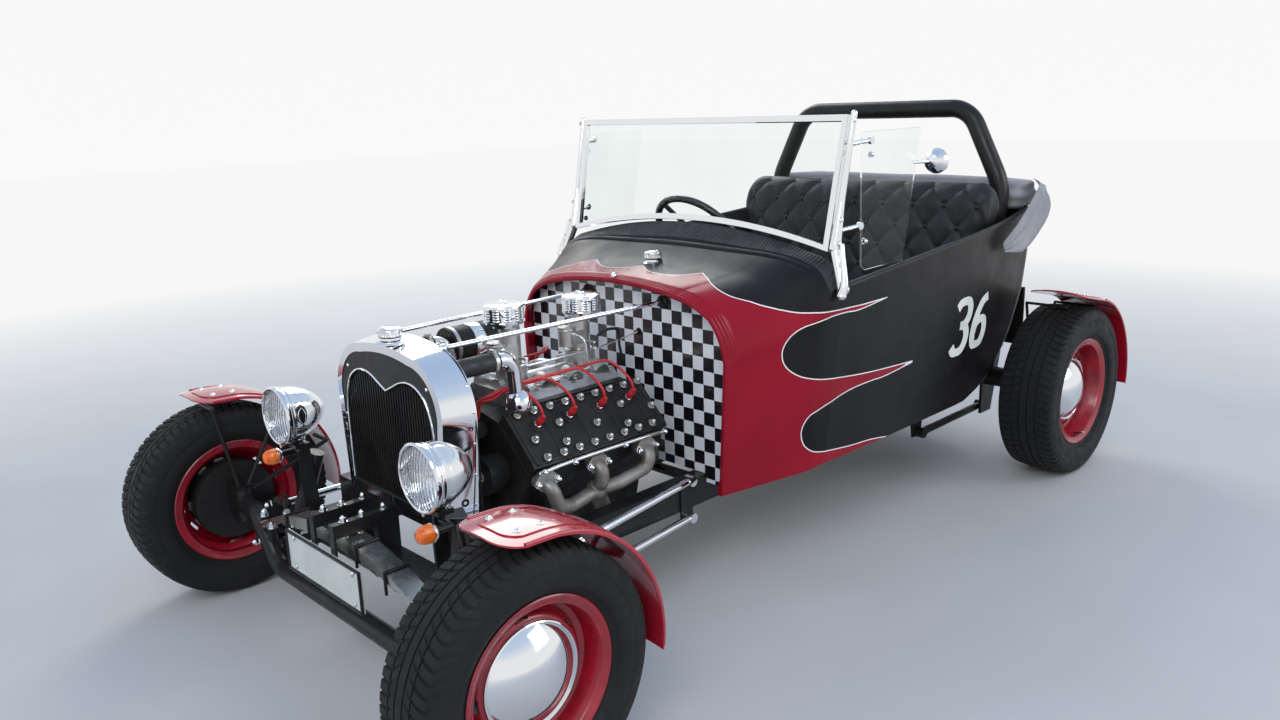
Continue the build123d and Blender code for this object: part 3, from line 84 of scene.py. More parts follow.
def curve_through(points, steps, closed=False):
    """Points of a Catmull-Rom curve through the given points."""
    points = [Vector(p) for p in points]
    count = len(points)
    runs = count if closed else count - 1
    out = []
    for k in range(runs):
        if closed:
            p0, p1, p2, p3 = (points[(k + j - 1) % count] for j in range(4))
        else:
            p1, p2 = points[k], points[k + 1]
            p0 = points[k - 1] if k > 0 else p1 * 2 - p2
            p3 = points[k + 2] if k + 2 < count else p2 * 2 - p1
        for j in range(steps):
            t = j / steps
            out.append(0.5 * (2 * p1 + (p2 - p0) * t + (2 * p0 - 5 * p1 + 4 * p2 - p3) * t * t
                              + (3 * p1 - p0 - 3 * p2 + p3) * t * t * t))
    if not closed:
        out.append(points[-1])
    return out


def swept(places, steps):
    """Points of a smooth curve through places in millimetres."""
    return curve_through([at(*place) for place in places], steps)


def rectangle(station, low, high):
    """Corners of an upright rectangle across the car, between two corners given as (x, z)."""
    (x0, z0), (x1, z1) = low, high
    return [at(x, station, z) for x, z in ((x0, z0), (x1, z0), (x1, z1), (x0, z1))]


# Materials

class Shader:
    """A Principled material with short helpers for its procedural detail."""

    def __init__(self, name, colour, metal=0.0, **sockets):
        self.material = bpy.data.materials.new(name)
        self.material.use_nodes = True
        self.tree = self.material.node_tree
        self.shader = self.tree.nodes["Principled BSDF"]
        self.shader.inputs["Base Color"].default_value = (*colour, 1)
        self.shader.inputs["Metallic"].default_value = metal
        for key, value in sockets.items():
            self.shader.inputs[key.replace("_", " ")].default_value = value
        self.colour = colour
        self.height = None
        self.place = self.node("ShaderNodeTexCoord").outputs["Object"]

    def node(self, kind, **settings):
        node = self.tree.nodes.new(kind)
        for key, value in settings.items():
            setattr(node, key, value)
        return node

    def link(self, source, target):
        self.tree.links.new(source, target)

    def put(self, name, source):
        self.link(source, self.shader.inputs[name])

    def noise(self, scale, detail=4.0):
        texture = self.node("ShaderNodeTexNoise")
        for key, value in (("Scale", scale), ("Detail", detail), ("Roughness", 0.55)):
            texture.inputs[key].default_value = value
        self.link(self.place, texture.inputs["Vector"])
        return texture.outputs["Fac"]

    def ramp(self, source, low, high, start=0.35, end=0.65):
        spread = self.node("ShaderNodeMapRange")
        for key, value in (("From Min", start), ("From Max", end), ("To Min", low), ("To Max", high)):
            spread.inputs[key].default_value = value
        self.link(source, spread.inputs["Value"])
        return spread.outputs["Result"]

    def wave(self, source, period):
        """Sine of a length, with its period in metres."""
        return self.sums("SINE", self.sums("MULTIPLY", source, 2 * pi / period))

    def feed(self, socket, value):
        """A number, a colour or another node's output into a socket."""
        if isinstance(value, (int, float)):
            socket.default_value = value
        elif isinstance(value, tuple):
            socket.default_value = (*value, 1)
        else:
            self.link(value, socket)

    def sums(self, operation, *values):
        node = self.node("ShaderNodeMath", operation=operation)
        for socket, value in zip(node.inputs, values):
            self.feed(socket, value)
        return node.outputs["Value"]

    def mix(self, *values):
        """Colour between two others, by a factor."""
        node = self.node("ShaderNodeMix", data_type="RGBA")
        for place, value in zip((0, 6, 7), values):
            self.feed(node.inputs[place], value)
        return node.outputs[2]

    def attribute(self, name):
        return self.node("ShaderNodeAttribute", attribute_name=name).outputs["Fac"]

    def axes(self):
        split = self.node("ShaderNodeSeparateXYZ")
        self.link(self.place, split.inputs["Vector"])
        return split.outputs

    def rough_noise(self, scale, low, high):
        self.put("Roughness", self.ramp(self.noise(scale), low, high))

    def tint(self, scale, other, low=0.0, high=1.0):
        self.put("Base Color", self.mix(self.ramp(self.noise(scale), low, high), self.colour, other))

    def bump(self, source, distance, strength):
        node = self.node("ShaderNodeBump")
        node.inputs["Distance"].default_value = distance
        node.inputs["Strength"].default_value = strength
        self.link(source, node.inputs["Height"])
        if self.height is not None:
            self.link(self.height, node.inputs["Normal"])
        self.height = node.outputs["Normal"]
        self.put("Normal", self.height)
        return self


# Finishes of one colour. rough is noise in the roughness as (scale, low, high), tint a second colour as
# (scale, colour, low, high), and grain a fine bump as (scale, detail, distance, strength).
FINISHES = {
    "chrome": dict(name="chrome_plate", colour=(0.82, 0.83, 0.85), metal=1.0, rough=(9, 0.03, 0.11),
                   grain=(60, 2, 0.0001, 0.15)),
    "steel": dict(name="bright_steel", colour=(0.62, 0.61, 0.58), metal=1.0, rough=(24, 0.22, 0.32),
                  tint=(12, (0.52, 0.5, 0.46), 0.0, 0.5), grain=(300, 3, 0.0001, 0.15)),
    "red": dict(name="fender_red", colour=(0.42, 0.008, 0.022), rough=(8, 0.14, 0.2),
                tint=(3, (0.34, 0.005, 0.018)), grain=(420, 2, 0.00005, 0.06), Coat_Weight=0.8,
                Coat_Roughness=0.06),
    "rim": dict(name="rim_red", colour=(0.33, 0.004, 0.018), rough=(30, 0.24, 0.42),
                tint=(18, (0.22, 0.004, 0.012)), grain=(500, 2, 0.0001, 0.3), Coat_Weight=0.5,
                Coat_Roughness=0.12),
    "black": dict(name="chassis_black", colour=(0.01, 0.01, 0.011), rough=(16, 0.24, 0.46),
                  tint=(7, (0.018, 0.0175, 0.017)), grain=(600, 2, 0.0001, 0.25), Coat_Weight=0.08,
                  Coat_Roughness=0.15, Specular_IOR_Level=0.24),
    "engine": dict(name="engine_satin_black", colour=(0.01, 0.01, 0.011), rough=(22, 0.34, 0.55),
                   tint=(10, (0.022, 0.0215, 0.021)), grain=(500, 4, 0.0006, 0.5), Specular_IOR_Level=0.22),
    "alloy": dict(name="cast_alloy", colour=(0.55, 0.55, 0.54), metal=1.0, rough=(35, 0.28, 0.5),
                  tint=(20, (0.4, 0.39, 0.37), 0.0, 0.7), grain=(700, 4, 0.0005, 0.45)),
    "header": dict(name="header_grey", colour=(0.3, 0.29, 0.27), metal=0.75, rough=(30, 0.4, 0.65),
                   tint=(14, (0.16, 0.13, 0.11), 0.0, 0.6), grain=(400, 4, 0.0004, 0.4)),
    "rubber": dict(name="hose_rubber", colour=(0.016, 0.016, 0.017), rough=(60, 0.45, 0.7),
                   grain=(900, 2, 0.0003, 0.4)),
    "tyre": dict(name="tyre_rubber", colour=(0.012, 0.0125, 0.014), rough=(35, 0.52, 0.78),
                 tint=(9, (0.016, 0.0158, 0.0155), 0.0, 0.8), grain=(900, 3, 0.0003, 0.5),
                 Sheen_Weight=0.02, Sheen_Roughness=0.6, Specular_IOR_Level=0.16),
    "lead": dict(name="plug_lead_red", colour=(0.5, 0.012, 0.018), rough=(80, 0.28, 0.5),
                 grain=(700, 2, 0.0002, 0.3)),
    "glass": dict(name="clear_glass", colour=(0.95, 0.98, 0.975), tint=(3, (0.91, 0.955, 0.945)),
                  Roughness=0.0, Transmission_Weight=1.0, IOR=1.12),
    "ruby": dict(name="tail_lens", colour=(0.5, 0.006, 0.006), rough=(50, 0.1, 0.24),
                 tint=(60, (0.3, 0.0, 0.0)), Coat_Weight=0.8, Subsurface_Weight=0.2),
    "amber": dict(name="amber_lens", colour=(0.85, 0.2, 0.01), rough=(50, 0.12, 0.26),
                  tint=(60, (0.6, 0.09, 0.0)), Coat_Weight=0.6, Subsurface_Weight=0.25,
                  Emission_Color=(0.8, 0.15, 0.0, 1), Emission_Strength=0.06),
    "plate": dict(name="plate_paint", colour=(0.62, 0.66, 0.63), rough=(40, 0.3, 0.5),
                  tint=(15, (0.5, 0.53, 0.5), 0.0, 0.6), grain=(300, 2, 0.0002, 0.3)),
    "grip": dict(name="wheel_grip", colour=(0.012, 0.012, 0.012), rough=(50, 0.25, 0.45),
                 grain=(500, 2, 0.0003, 0.4), Coat_Weight=0.3),
    "carpet": dict(name="floor_carpet", colour=(0.02, 0.02, 0.022), rough=(60, 0.8, 1.0),
                   tint=(30, (0.04, 0.038, 0.038)), grain=(700, 4, 0.002, 0.8), Sheen_Weight=0.4),
    "dial": dict(name="dial_face", colour=(0.8, 0.79, 0.72), rough=(50, 0.28, 0.42),
                 tint=(50, (0.7, 0.68, 0.6)), Coat_Weight=0.7),
    "white": dict(name="sign_white", colour=(0.74, 0.76, 0.72), rough=(40, 0.3, 0.45),
                  tint=(12, (0.62, 0.64, 0.6))),
}


def plain_finish(name, colour, metal=0.0, rough=None, tint=None, grain=None, **sockets):
    """Material of a row of FINISHES."""
    finish = Shader(name, colour, metal, **sockets)
    if rough:
        finish.rough_noise(*rough)
    if tint:
        finish.tint(*tint)
    if grain:
        scale, detail, distance, strength = grain
        finish.bump(finish.noise(scale, detail), distance, strength)
    return finish


# Periods of the patterns, the width of the pinstripe and the side of a check, in metres
FLUTE = RIB = 0.011
DIAMOND = 0.006
THREAD = 0.0016
PIN_WIDTH = 0.0034
CHECK = 0.0405
CHECK_SHIFT = (0.004, 0.012)
CHECKS_BELOW = 40


def lens_material():
    """Clear glass with upright flutes."""
    lens = plain_finish("lamp_lens", (0.95, 0.97, 1.0), rough=(30, 0.03, 0.1), Transmission_Weight=0.9,
                        IOR=1.3)
    return lens.bump(lens.wave(lens.axes()["X"], FLUTE), 0.0007, 0.8)


def mesh_material():
    """Dark diamond mesh of the radiator's core."""
    mesh = Shader("core_mesh", (0.006, 0.006, 0.007), 0.6, Roughness=0.35)
    axes = mesh.axes()
    rise = mesh.sums("MULTIPLY", axes["Z"], 0.6)
    ways = [mesh.wave(mesh.sums(operation, axes["X"], rise), DIAMOND) for operation in ("ADD", "SUBTRACT")]
    wave = mesh.sums("MAXIMUM", *ways)
    wires = mesh.ramp(wave, 0, 1, 0.4, 0.95)
    mesh.put("Base Color", mesh.mix(wires, (0.003, 0.003, 0.003), (0.05, 0.05, 0.055)))
    return mesh.bump(wave, 0.0012, 0.9)


def vinyl_material():
    """Black vinyl with small cells in its grain and soft creases."""
    vinyl = plain_finish("black_vinyl", (0.01, 0.01, 0.012), rough=(20, 0.28, 0.46),
                         tint=(6, (0.022, 0.022, 0.026)), Sheen_Weight=0.03, Specular_IOR_Level=0.26)
    cells = vinyl.node("ShaderNodeTexVoronoi", feature="DISTANCE_TO_EDGE")
    cells.inputs["Scale"].default_value = 650
    vinyl.link(vinyl.place, cells.inputs["Vector"])
    vinyl.bump(vinyl.ramp(cells.outputs["Distance"], 0, 1, 0.0, 0.12), 0.0003, 0.35)
    return vinyl.bump(vinyl.noise(30, 4), 0.0015, 0.3)


def canvas_material():
    """Grey canvas with a plain weave."""
    canvas = plain_finish("grey_canvas", (0.3, 0.3, 0.32), rough=(50, 0.7, 0.9),
                          tint=(7, (0.22, 0.22, 0.245), 0.0, 0.9), Sheen_Weight=0.2)
    axes = canvas.axes()
    warp = canvas.wave(canvas.sums("ADD", axes["X"], axes["Z"]), THREAD)
    weft = canvas.wave(canvas.sums("SUBTRACT", axes["Y"], axes["Z"]), THREAD)
    canvas.bump(canvas.sums("MULTIPLY", warp, weft), 0.0003, 0.35)
    return canvas.bump(canvas.noise(14, 4), 0.003, 0.4)


def checker_material():
    """Black and white checks, with the pale ones slightly uneven."""
    paint = plain_finish("checked_paint", (0.8, 0.8, 0.8), rough=(25, 0.18, 0.34), Coat_Weight=0.5,
                         Coat_Roughness=0.08)
    axes = paint.axes()
    halves = []
    for name, shift in zip(("X", "Z"), CHECK_SHIFT):
        cell = paint.sums("DIVIDE", paint.sums("ADD", axes[name], shift + CHECKS_BELOW * CHECK), CHECK)
        halves.append(paint.sums("MODULO", paint.sums("FLOOR", cell), 2))
    odd = paint.sums("MODULO", paint.sums("ADD", *halves), 2)
    pale = paint.mix(paint.ramp(paint.noise(6), 0, 1), (0.66, 0.7, 0.76), (0.78, 0.81, 0.85))
    paint.put("Base Color", paint.mix(odd, (0.008, 0.007, 0.01), pale))
    return paint


def body_material():
    """Satin black over gloss red, split by a drawn line that the mesh carries as a distance."""
    paint = Shader("body_paint", (0.008, 0.0075, 0.008), Coat_Weight=0.05, Coat_Roughness=0.2,
                   Specular_IOR_Level=0.18)
    across = paint.attribute("paint_edge")
    is_black = paint.sums("GREATER_THAN", across, 0.0)
    is_line = paint.sums("LESS_THAN", paint.sums("ABSOLUTE", across), PIN_WIDTH / 2)
    reds = paint.mix(paint.ramp(paint.noise(4), 0, 1), (0.3, 0.005, 0.02), (0.24, 0.004, 0.016))
    blacks = paint.mix(paint.ramp(paint.noise(5), 0, 1), (0.006, 0.0056, 0.006), (0.011, 0.0102, 0.0105))
    coat = paint.mix(is_black, reds, blacks)
    paint.put("Base Color", paint.mix(is_line, coat, (0.82, 0.78, 0.78)))
    gloss = paint.ramp(paint.noise(14), 0.16, 0.24)
    satin = paint.ramp(paint.noise(14), 0.3, 0.42)
    blend = paint.sums("ADD", gloss, paint.sums("MULTIPLY", is_black, paint.sums("SUBTRACT", satin, gloss)))
    paint.put("Roughness", blend)
    return paint.bump(paint.noise(450, 2), 0.00008, 0.3)


def scuttle_material():
    """Ribbed black covering of the roll under the windscreen."""
    paint = plain_finish("ribbed_black", (0.01, 0.01, 0.011), rough=(30, 0.4, 0.6),
                         tint=(20, (0.022, 0.022, 0.022)))
    paint.bump(paint.wave(paint.axes()["X"], RIB), 0.0012, 0.6)
    return paint.bump(paint.noise(600, 2), 0.0003, 0.4)


M = {key: plain_finish(**row).material for key, row in FINISHES.items()}
for key, make in (("lens", lens_material), ("mesh", mesh_material), ("vinyl", vinyl_material),
                  ("canvas", canvas_material), ("checks", checker_material), ("body", body_material),
                  ("scuttle", scuttle_material)):
    M[key] = make().material


# Mesh building

class Builder:
    """Collects shapes in metres into one joined mesh, each with its finish."""

    def __init__(self, name, body, *finishes):
        self.name = name
        self.body = body
        self.finishes = list(finishes)
        self.verts = []
        self.faces = []
        self.marks = []
        self.mark = 0

    def finish(self, key):
        """Later shapes take this finish."""
        if key not in self.finishes:
            self.finishes.append(key)
        self.mark = self.finishes.index(key)
        return self

    def add(self, verts, faces):
        start = len(self.verts)
        self.verts += [tuple(v) for v in verts]
        self.faces += [tuple(start + k for k in face) for face in faces]
        self.marks += [self.mark] * len(faces)
        return self

    def grid(self, rows, close_u=False, close_v=False):
        """Quads over rows of points."""
        height, width = len(rows), len(rows[0])
        flat = [point for row in rows for point in row]
        faces = []
        for i in range(height if close_u else height - 1):
            for j in range(width if close_v else width - 1):
                a = i * width + j
                b = i * width + (j + 1) % width
                c = ((i + 1) % height) * width + (j + 1) % width
                d = ((i + 1) % height) * width + j
                faces.append((a, b, c, d))
        return self.add(flat, faces)

    def lathe(self, profile, centre, axis, segments=48):
        """Profile of (along, radius) in millimetres, turned about an axis through a point in metres."""
        axis = Vector(axis).normalized()
        side = axis.orthogonal().normalized()
        other = axis.cross(side)
        centre = Vector(centre)
        rows = []
        for angle in turns(segments):
            spoke = side * cos(angle) + other * sin(angle)
            rows.append([centre + axis * (along * MM) + spoke * (max(radius, 0.01) * MM)
                         for along, radius in profile])
        return self.grid(rows, close_u=True)

    def tube(self, points, radius, segments=12):
        """Round tube through points in metres, with its radius in millimetres or a list of them."""
        points = [Vector(p) for p in points]
        radii = radius if isinstance(radius, (list, tuple)) else [radius] * len(points)
        ahead = (points[1] - points[0]).normalized()
        side = ahead.orthogonal().normalized()
        rings = []
        for k, point in enumerate(points):
            before = points[max(k - 1, 0)]
            after = points[min(k + 1, len(points) - 1)]
            turn_to = (after - before).normalized()
            side = (side - turn_to * side.dot(turn_to)).normalized()
            other = turn_to.cross(side)
            rings.append([point + (side * cos(turn) + other * sin(turn)) * (radii[k] * MM)
                          for turn in turns(segments)])
        self.grid(rings, close_v=True)
        self.add(rings[0], [tuple(reversed(range(segments)))])
        return self.add(rings[-1], [tuple(range(segments))])

    def rod(self, start, end, radius, segments=16):
        return self.tube([start, end], radius, segments)

    def frame(self, corners, radius, segments=8):
        """Rods from corner to corner of a closed line."""
        for a, b in zip(corners, corners[1:] + corners[:1]):
            self.rod(a, b, radius, segments)
        return self

    def prism(self, outline, depth, cut):
        """Closed outline in metres, pushed along a vector, with its two rims cut back."""
        outline = [Vector(p) for p in outline]
        depth = Vector(depth)
        count = len(outline)
        middle = sum(outline, Vector()) / count
        lip = depth.normalized() * (cut * MM)
        inner = [p + (middle - p).normalized() * (cut * MM) for p in outline]
        rings = [inner, [p + lip for p in outline], [p + depth - lip for p in outline],
                 [p + depth for p in inner]]
        self.grid(rings, close_v=True)
        self.add(rings[0], [tuple(range(count - 1, -1, -1))])
        return self.add(rings[-1], [tuple(range(count))])

    def slab(self, low, high, cut=1.0):
        """Box between two corners in metres, with its edges cut."""
        (x0, y0, z0), (x1, y1, z1) = low, high
        outline = [(x0, y0, z0), (x1, y0, z0), (x1, y1, z0), (x0, y1, z0)]
        return self.prism(outline, (0, 0, z1 - z0), cut)

    def ball(self, centre, radius, rings=10, segments=20, squash=(1, 1, 1)):
        rows = []
        for i in range(rings + 1):
            angle = pi * i / rings
            rows.append([Vector(centre) + Vector((squash[0] * sin(angle) * cos(turn),
                                                  squash[1] * sin(angle) * sin(turn),
                                                  squash[2] * cos(angle))) * (radius * MM)
                         for turn in turns(segments)])
        return self.grid(rows, close_v=True)

    def nut(self, centre, axis, across=14.0, height=8.0, dome=True, washer=True):
        """Hexagon nut, with a washer under it and an acorn dome on it where asked."""
        axis = Vector(axis).normalized()
        centre = Vector(centre)
        if washer:
            self.lathe([(0, 0), (0, across * 0.72), (1.4, across * 0.72), (1.6, 0)], centre, axis, 16)
        start = centre + axis * (1.5 * MM)
        corner = across / sqrt(3)
        self.lathe([(0, corner), (height - 1, corner), (height, corner * 0.86), (height, 0)], start, axis, 6)
        if dome:
            top = corner * 0.78
            arc = [(height - 0.4 + top * sin(a), top * cos(a)) for a in (0, 0.35, 0.7, 1.05, 1.35)]
            self.lathe(arc + [(height - 0.4 + top, 0)], start, axis, 12)
        return self

    def screw(self, centre, axis, radius=6.0, height=2.6):
        """Round-headed screw with a slot ring."""
        arc = [(height * sin(a), radius * cos(a)) for a in (0, 0.4, 0.8, 1.1)]
        hollow = [(height, radius * 0.22), (height - 0.8, radius * 0.16), (height - 0.8, 0)]
        return self.lathe(arc + hollow, centre, axis, 14)

    def build(self, angle=32, replaces=(), weld=True):
        """Makes the object, shaded smooth up to the angle, and rides it on its body."""
        mesh = bpy.data.meshes.new(self.name)
        mesh.from_pydata(self.verts, [], self.faces)
        for key in self.finishes:
            mesh.materials.append(M[key])
        mesh.polygons.foreach_set("material_index", self.marks)
        if weld:
            work = bmesh.new()
            work.from_mesh(mesh)
            bmesh.ops.remove_doubles(work, verts=work.verts, dist=2e-6)
            bmesh.ops.dissolve_degenerate(work, edges=work.edges, dist=1e-6)
            bmesh.ops.recalc_face_normals(work, faces=work.faces)
            work.to_mesh(mesh)
            work.free()
        mesh.shade_smooth()
        mesh.set_sharp_from_angle(angle=radians(angle))
        piece = bpy.data.objects.new(self.name, mesh)
        show(piece)
        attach(piece, self.body)
        if replaces:
            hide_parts(*replaces)
        return piece


# Stage: camera, lamps and floor

CAMERA_PLACE = (2178.66, -1053.5, 1368.09)
# yaw, pitch and roll, in radians
CAMERA_TURNS = (-0.804546131, 0.246970572, -0.0314864857)
CAMERA_LENS = 28.03
CAMERA_FILM = 36
# height from -0.2 to 1 as a share, with the sky's colour there
SKY_FROM = -0.2
SKY = (
    (0.0, (0.5, 0.5, 0.5)),
    (0.06, (0.55, 0.55, 0.55)),
    (0.1, (0.95, 0.95, 0.95)),
    (0.42, (0.93, 0.94, 0.95)),
    (0.6, (0.6, 0.72, 0.88)),
    (1.0, (0.42, 0.56, 0.8)),
)
# name, place, aim, size, power and colour, in metres and watts
LAMPS = (
    ("key", (3.2, -4.6, 4.6), (0, 0, 0.5), (3.4, 3.4), 150, (1.0, 0.98, 0.95)),
    ("rear_key", (-4.2, 2.5, 4.4), (0, 0, 0.6), (3.4, 3.4), 150, (1.0, 0.97, 0.92)),
    ("fill", (4.8, 2.6, 2.8), (0, 0.3, 0.5), (3.0, 2.4), 80, (0.92, 0.96, 1.0)),
)
FLOOR_HALF = 30.0
# the floor fades into the backdrop between these distances, in metres
FADE = (2.6, 6.5)
BACKDROP = (0.93, 0.93, 0.93, 1)


def show(thing):
    bpy.context.scene.collection.objects.link(thing)


def add_camera():
    yaw, pitch, roll = CAMERA_TURNS
    ahead = Vector((sin(yaw) * cos(pitch), cos(yaw) * cos(pitch), -sin(pitch)))
    level = Vector((cos(yaw), -sin(yaw), 0))
    upright = level.cross(ahead)
    right = level * cos(roll) + upright * sin(roll)
    up = upright * cos(roll) - level * sin(roll)
    data = bpy.data.cameras.new("camera")
    data.lens = CAMERA_LENS
    data.sensor_width = CAMERA_FILM
    camera = bpy.data.objects.new("camera", data)
    turn = Matrix((right, up, -ahead)).transposed().to_4x4()
    camera.matrix_world = Matrix.Translation(at(*CAMERA_PLACE)) @ turn
    show(camera)
    bpy.context.scene.camera = camera


def add_lamp(name, place, aim, size, energy, colour):
    data = bpy.data.lights.new(name, "AREA")
    data.shape = "RECTANGLE"
    data.size, data.size_y = size
    data.energy = energy
    data.color = colour
    lamp = bpy.data.objects.new(name, data)
    lamp.location = place
    lamp.rotation_mode = "QUATERNION"
    lamp.rotation_quaternion = (Vector(aim) - Vector(place)).to_track_quat("-Z", "Y")
    show(lamp)


def add_world():
    """Plain and pale at the horizon, bluer overhead, the same for every kind of ray."""
    world = bpy.data.worlds.new("studio")
    bpy.context.scene.world = world
    world.use_nodes = True
    tree = world.node_tree
    background = tree.nodes["Background"]
    place = tree.nodes.new("ShaderNodeTexCoord")
    split = tree.nodes.new("ShaderNodeSeparateXYZ")
    tree.links.new(place.outputs["Generated"], split.inputs["Vector"])
    height = tree.nodes.new("ShaderNodeMapRange")
    height.inputs["From Min"].default_value = SKY_FROM
    tree.links.new(split.outputs["Z"], height.inputs["Value"])
    ramp = tree.nodes.new("ShaderNodeValToRGB")
    tree.links.new(height.outputs["Result"], ramp.inputs["Fac"])
    stops = ramp.color_ramp.elements
    for stop, (position, colour) in zip(stops, (SKY[0], SKY[-1])):
        stop.position = position
        stop.color = (*colour, 1)
    for position, colour in SKY[1:-1]:
        stops.new(position).color = (*colour, 1)
    tree.links.new(ramp.outputs["Color"], background.inputs["Color"])


def add_floor():
    """Pale floor that fades into the backdrop for rays from the camera, glass and gloss."""
    floor = plain_finish("pale_floor", (0.5, 0.5, 0.5), rough=(6, 0.7, 0.8), tint=(1.3, (0.47, 0.47, 0.47)))
    axes = floor.axes()
    squares = [floor.sums("MULTIPLY", axes[name], axes[name]) for name in ("X", "Y")]
    away = floor.sums("SQRT", floor.sums("ADD", *squares))
    rays = floor.node("ShaderNodeLightPath")
    seen = [rays.outputs[f"Is {kind} Ray"] for kind in ("Camera", "Glossy", "Transmission")]
    shown = floor.sums("MAXIMUM", seen[0], floor.sums("MAXIMUM", *seen[1:]))
    glow = floor.node("ShaderNodeEmission")
    glow.inputs["Color"].default_value = BACKDROP
    blend = floor.node("ShaderNodeMixShader")
    floor.link(floor.sums("MULTIPLY", shown, floor.ramp(away, 0, 1, *FADE)), blend.inputs["Fac"])
    output = floor.tree.nodes["Material Output"]
    floor.link(floor.shader.outputs["BSDF"], blend.inputs[1])
    floor.link(glow.outputs["Emission"], blend.inputs[2])
    floor.link(blend.outputs["Shader"], output.inputs["Surface"])
    mesh = bpy.data.meshes.new("floor")
    corners = [(x * FLOOR_HALF, y * FLOOR_HALF, 0) for x, y in ((-1, -1), (1, -1), (1, 1), (-1, 1))]
    mesh.from_pydata(corners, [], [(0, 1, 2, 3)])
    mesh.materials.append(floor.material)
    ground = bpy.data.objects.new("ground", mesh)
    show(ground)


def add_stage():
    add_camera()
    add_world()
    add_floor()
    for lamp in LAMPS:
        add_lamp(*lamp)
    bpy.context.scene.view_settings.view_transform = "Standard"


# Wheels

# tyre radius, half width, rim seat radius, flange radius and rim half width, in millimetres
FRONT_WHEEL = (283, 87, 165, 182, 70)
REAR_WHEEL = (310, 101.5, 178, 197, 86)
PITCHES = 70
TREAD_DEPTH = 6.0
# places of grooves and ribs across the tread, as shares of its half width
GROOVES = (0.17, 0.5)
GROOVE_HALF = 0.035
RIBS = (0.0, 0.06, 0.3, 0.68, 0.8, 0.9, 1.0)
# steps within a pitch, as (share of the pitch, whether it lies in a cross cut)
CUT_STEPS = ((0.0, False), (0.66, False), (0.72, True), (0.94, True))
# how far the outermost row sinks in a cut, and how far the cuts bend back, in millimetres and pitches
CUT_DROP, SKEW = 2.0, 2.2


def tread_shares():
    """Places across the tread, with both edges of each groove, as shares of its half width."""
    edges = {groove + way * width for groove in GROOVES for way in (-1, 1)
             for width in (GROOVE_HALF, GROOVE_HALF * 0.72)}
    shares = edges | set(RIBS)
    return sorted({-share for share in shares} | shares)


def tread_depth(share, sunk):
    """How deep the tread is cut at a share of its half width."""
    if any(abs(abs(share) - groove) <= GROOVE_HALF * 0.73 for groove in GROOVES):
        return TREAD_DEPTH
    if sunk and abs(share) > 0.56:
        return TREAD_DEPTH * 0.8
    if sunk and abs(share) > GROOVES[0] + GROOVE_HALF:
        return TREAD_DEPTH * 0.55
    return 0.0


def tyre_piece(side, end, spec, centre, body):
    """Radial tyre: ribs with curved cross cuts, a square shoulder, and a ringed sidewall."""
    radius, half, seat_r, flange_r, rim_half = spec
    tread_half = half - 14
    pitch = 2 * pi / PITCHES
    reach = 0.55 * SKEW * pitch
    shares = tread_shares()
    bead = rim_half - 6.5
    ring = (flange_r + radius) / 2
    wall = [  # across, radius
        (half - 7, radius - 14), (half - 3, radius - 24), (half - 1.5, radius - 40),
        (half - 1, ring + 6), (half - 1.8, ring + 4.5), (half - 1.8, ring + 1.5), (half - 0.5, ring - 2),
        (half - 2.5, flange_r + 30), (half - 7, flange_r + 17), (half - 9, flange_r + 15.5),
        (half - 13, flange_r + 14), (bead + 5, flange_r + 6), (bead + 1, flange_r + 1),
        (bead, flange_r - 4), (bead, seat_r + 0.5),
    ]
    rows = []
    for k in range(PITCHES):
        for step, sunk in CUT_STEPS:
            edge = []
            for across, r in wall:
                drop = CUT_DROP if sunk and r > radius - 20 else 0.0
                turn = reach * smooth(radius - 60, radius - 10, r - drop)
                edge.append((across - drop * 0.4, r - drop, turn))
            row = [(-across, r, turn) for across, r, turn in reversed(edge)]
            for share in shares:
                crown = radius - 6.0 * abs(share) ** 3.2 - tread_depth(share, sunk)
                skew = 0.55 * (1 - (abs(share) - 1) ** 2) + 0.1 * share
                row.append((share * tread_half, crown, skew * SKEW * pitch))
            points = []
            for across, r, turn in row + edge:
                angle = (k + step) * pitch + turn
                points.append(centre + Vector((side * across * MM, r * MM * cos(angle), r * MM * sin(angle))))
            rows.append(points)
    tyre = Builder(f"{end}_tyre_{WORD[side]}_tread", body, "tyre")
    tyre.grid(rows, close_u=True)
    return tyre.build(angle=38, replaces=(f"{end}_tyre_{WORD[side]}",))


CAP_R = 118.5
CAP_RISE = 44
CAP_STEPS = 14
DISC_STEPS, DISC_THICK = 96, 5
# pairs of slots, half a slot, half the way between the two of a pair, and where the first pair lies
SLOT_PAIRS, SLOT_HALF, PAIR_HALF, PAIR_FIRST = 4, radians(7.0), radians(15), radians(20)


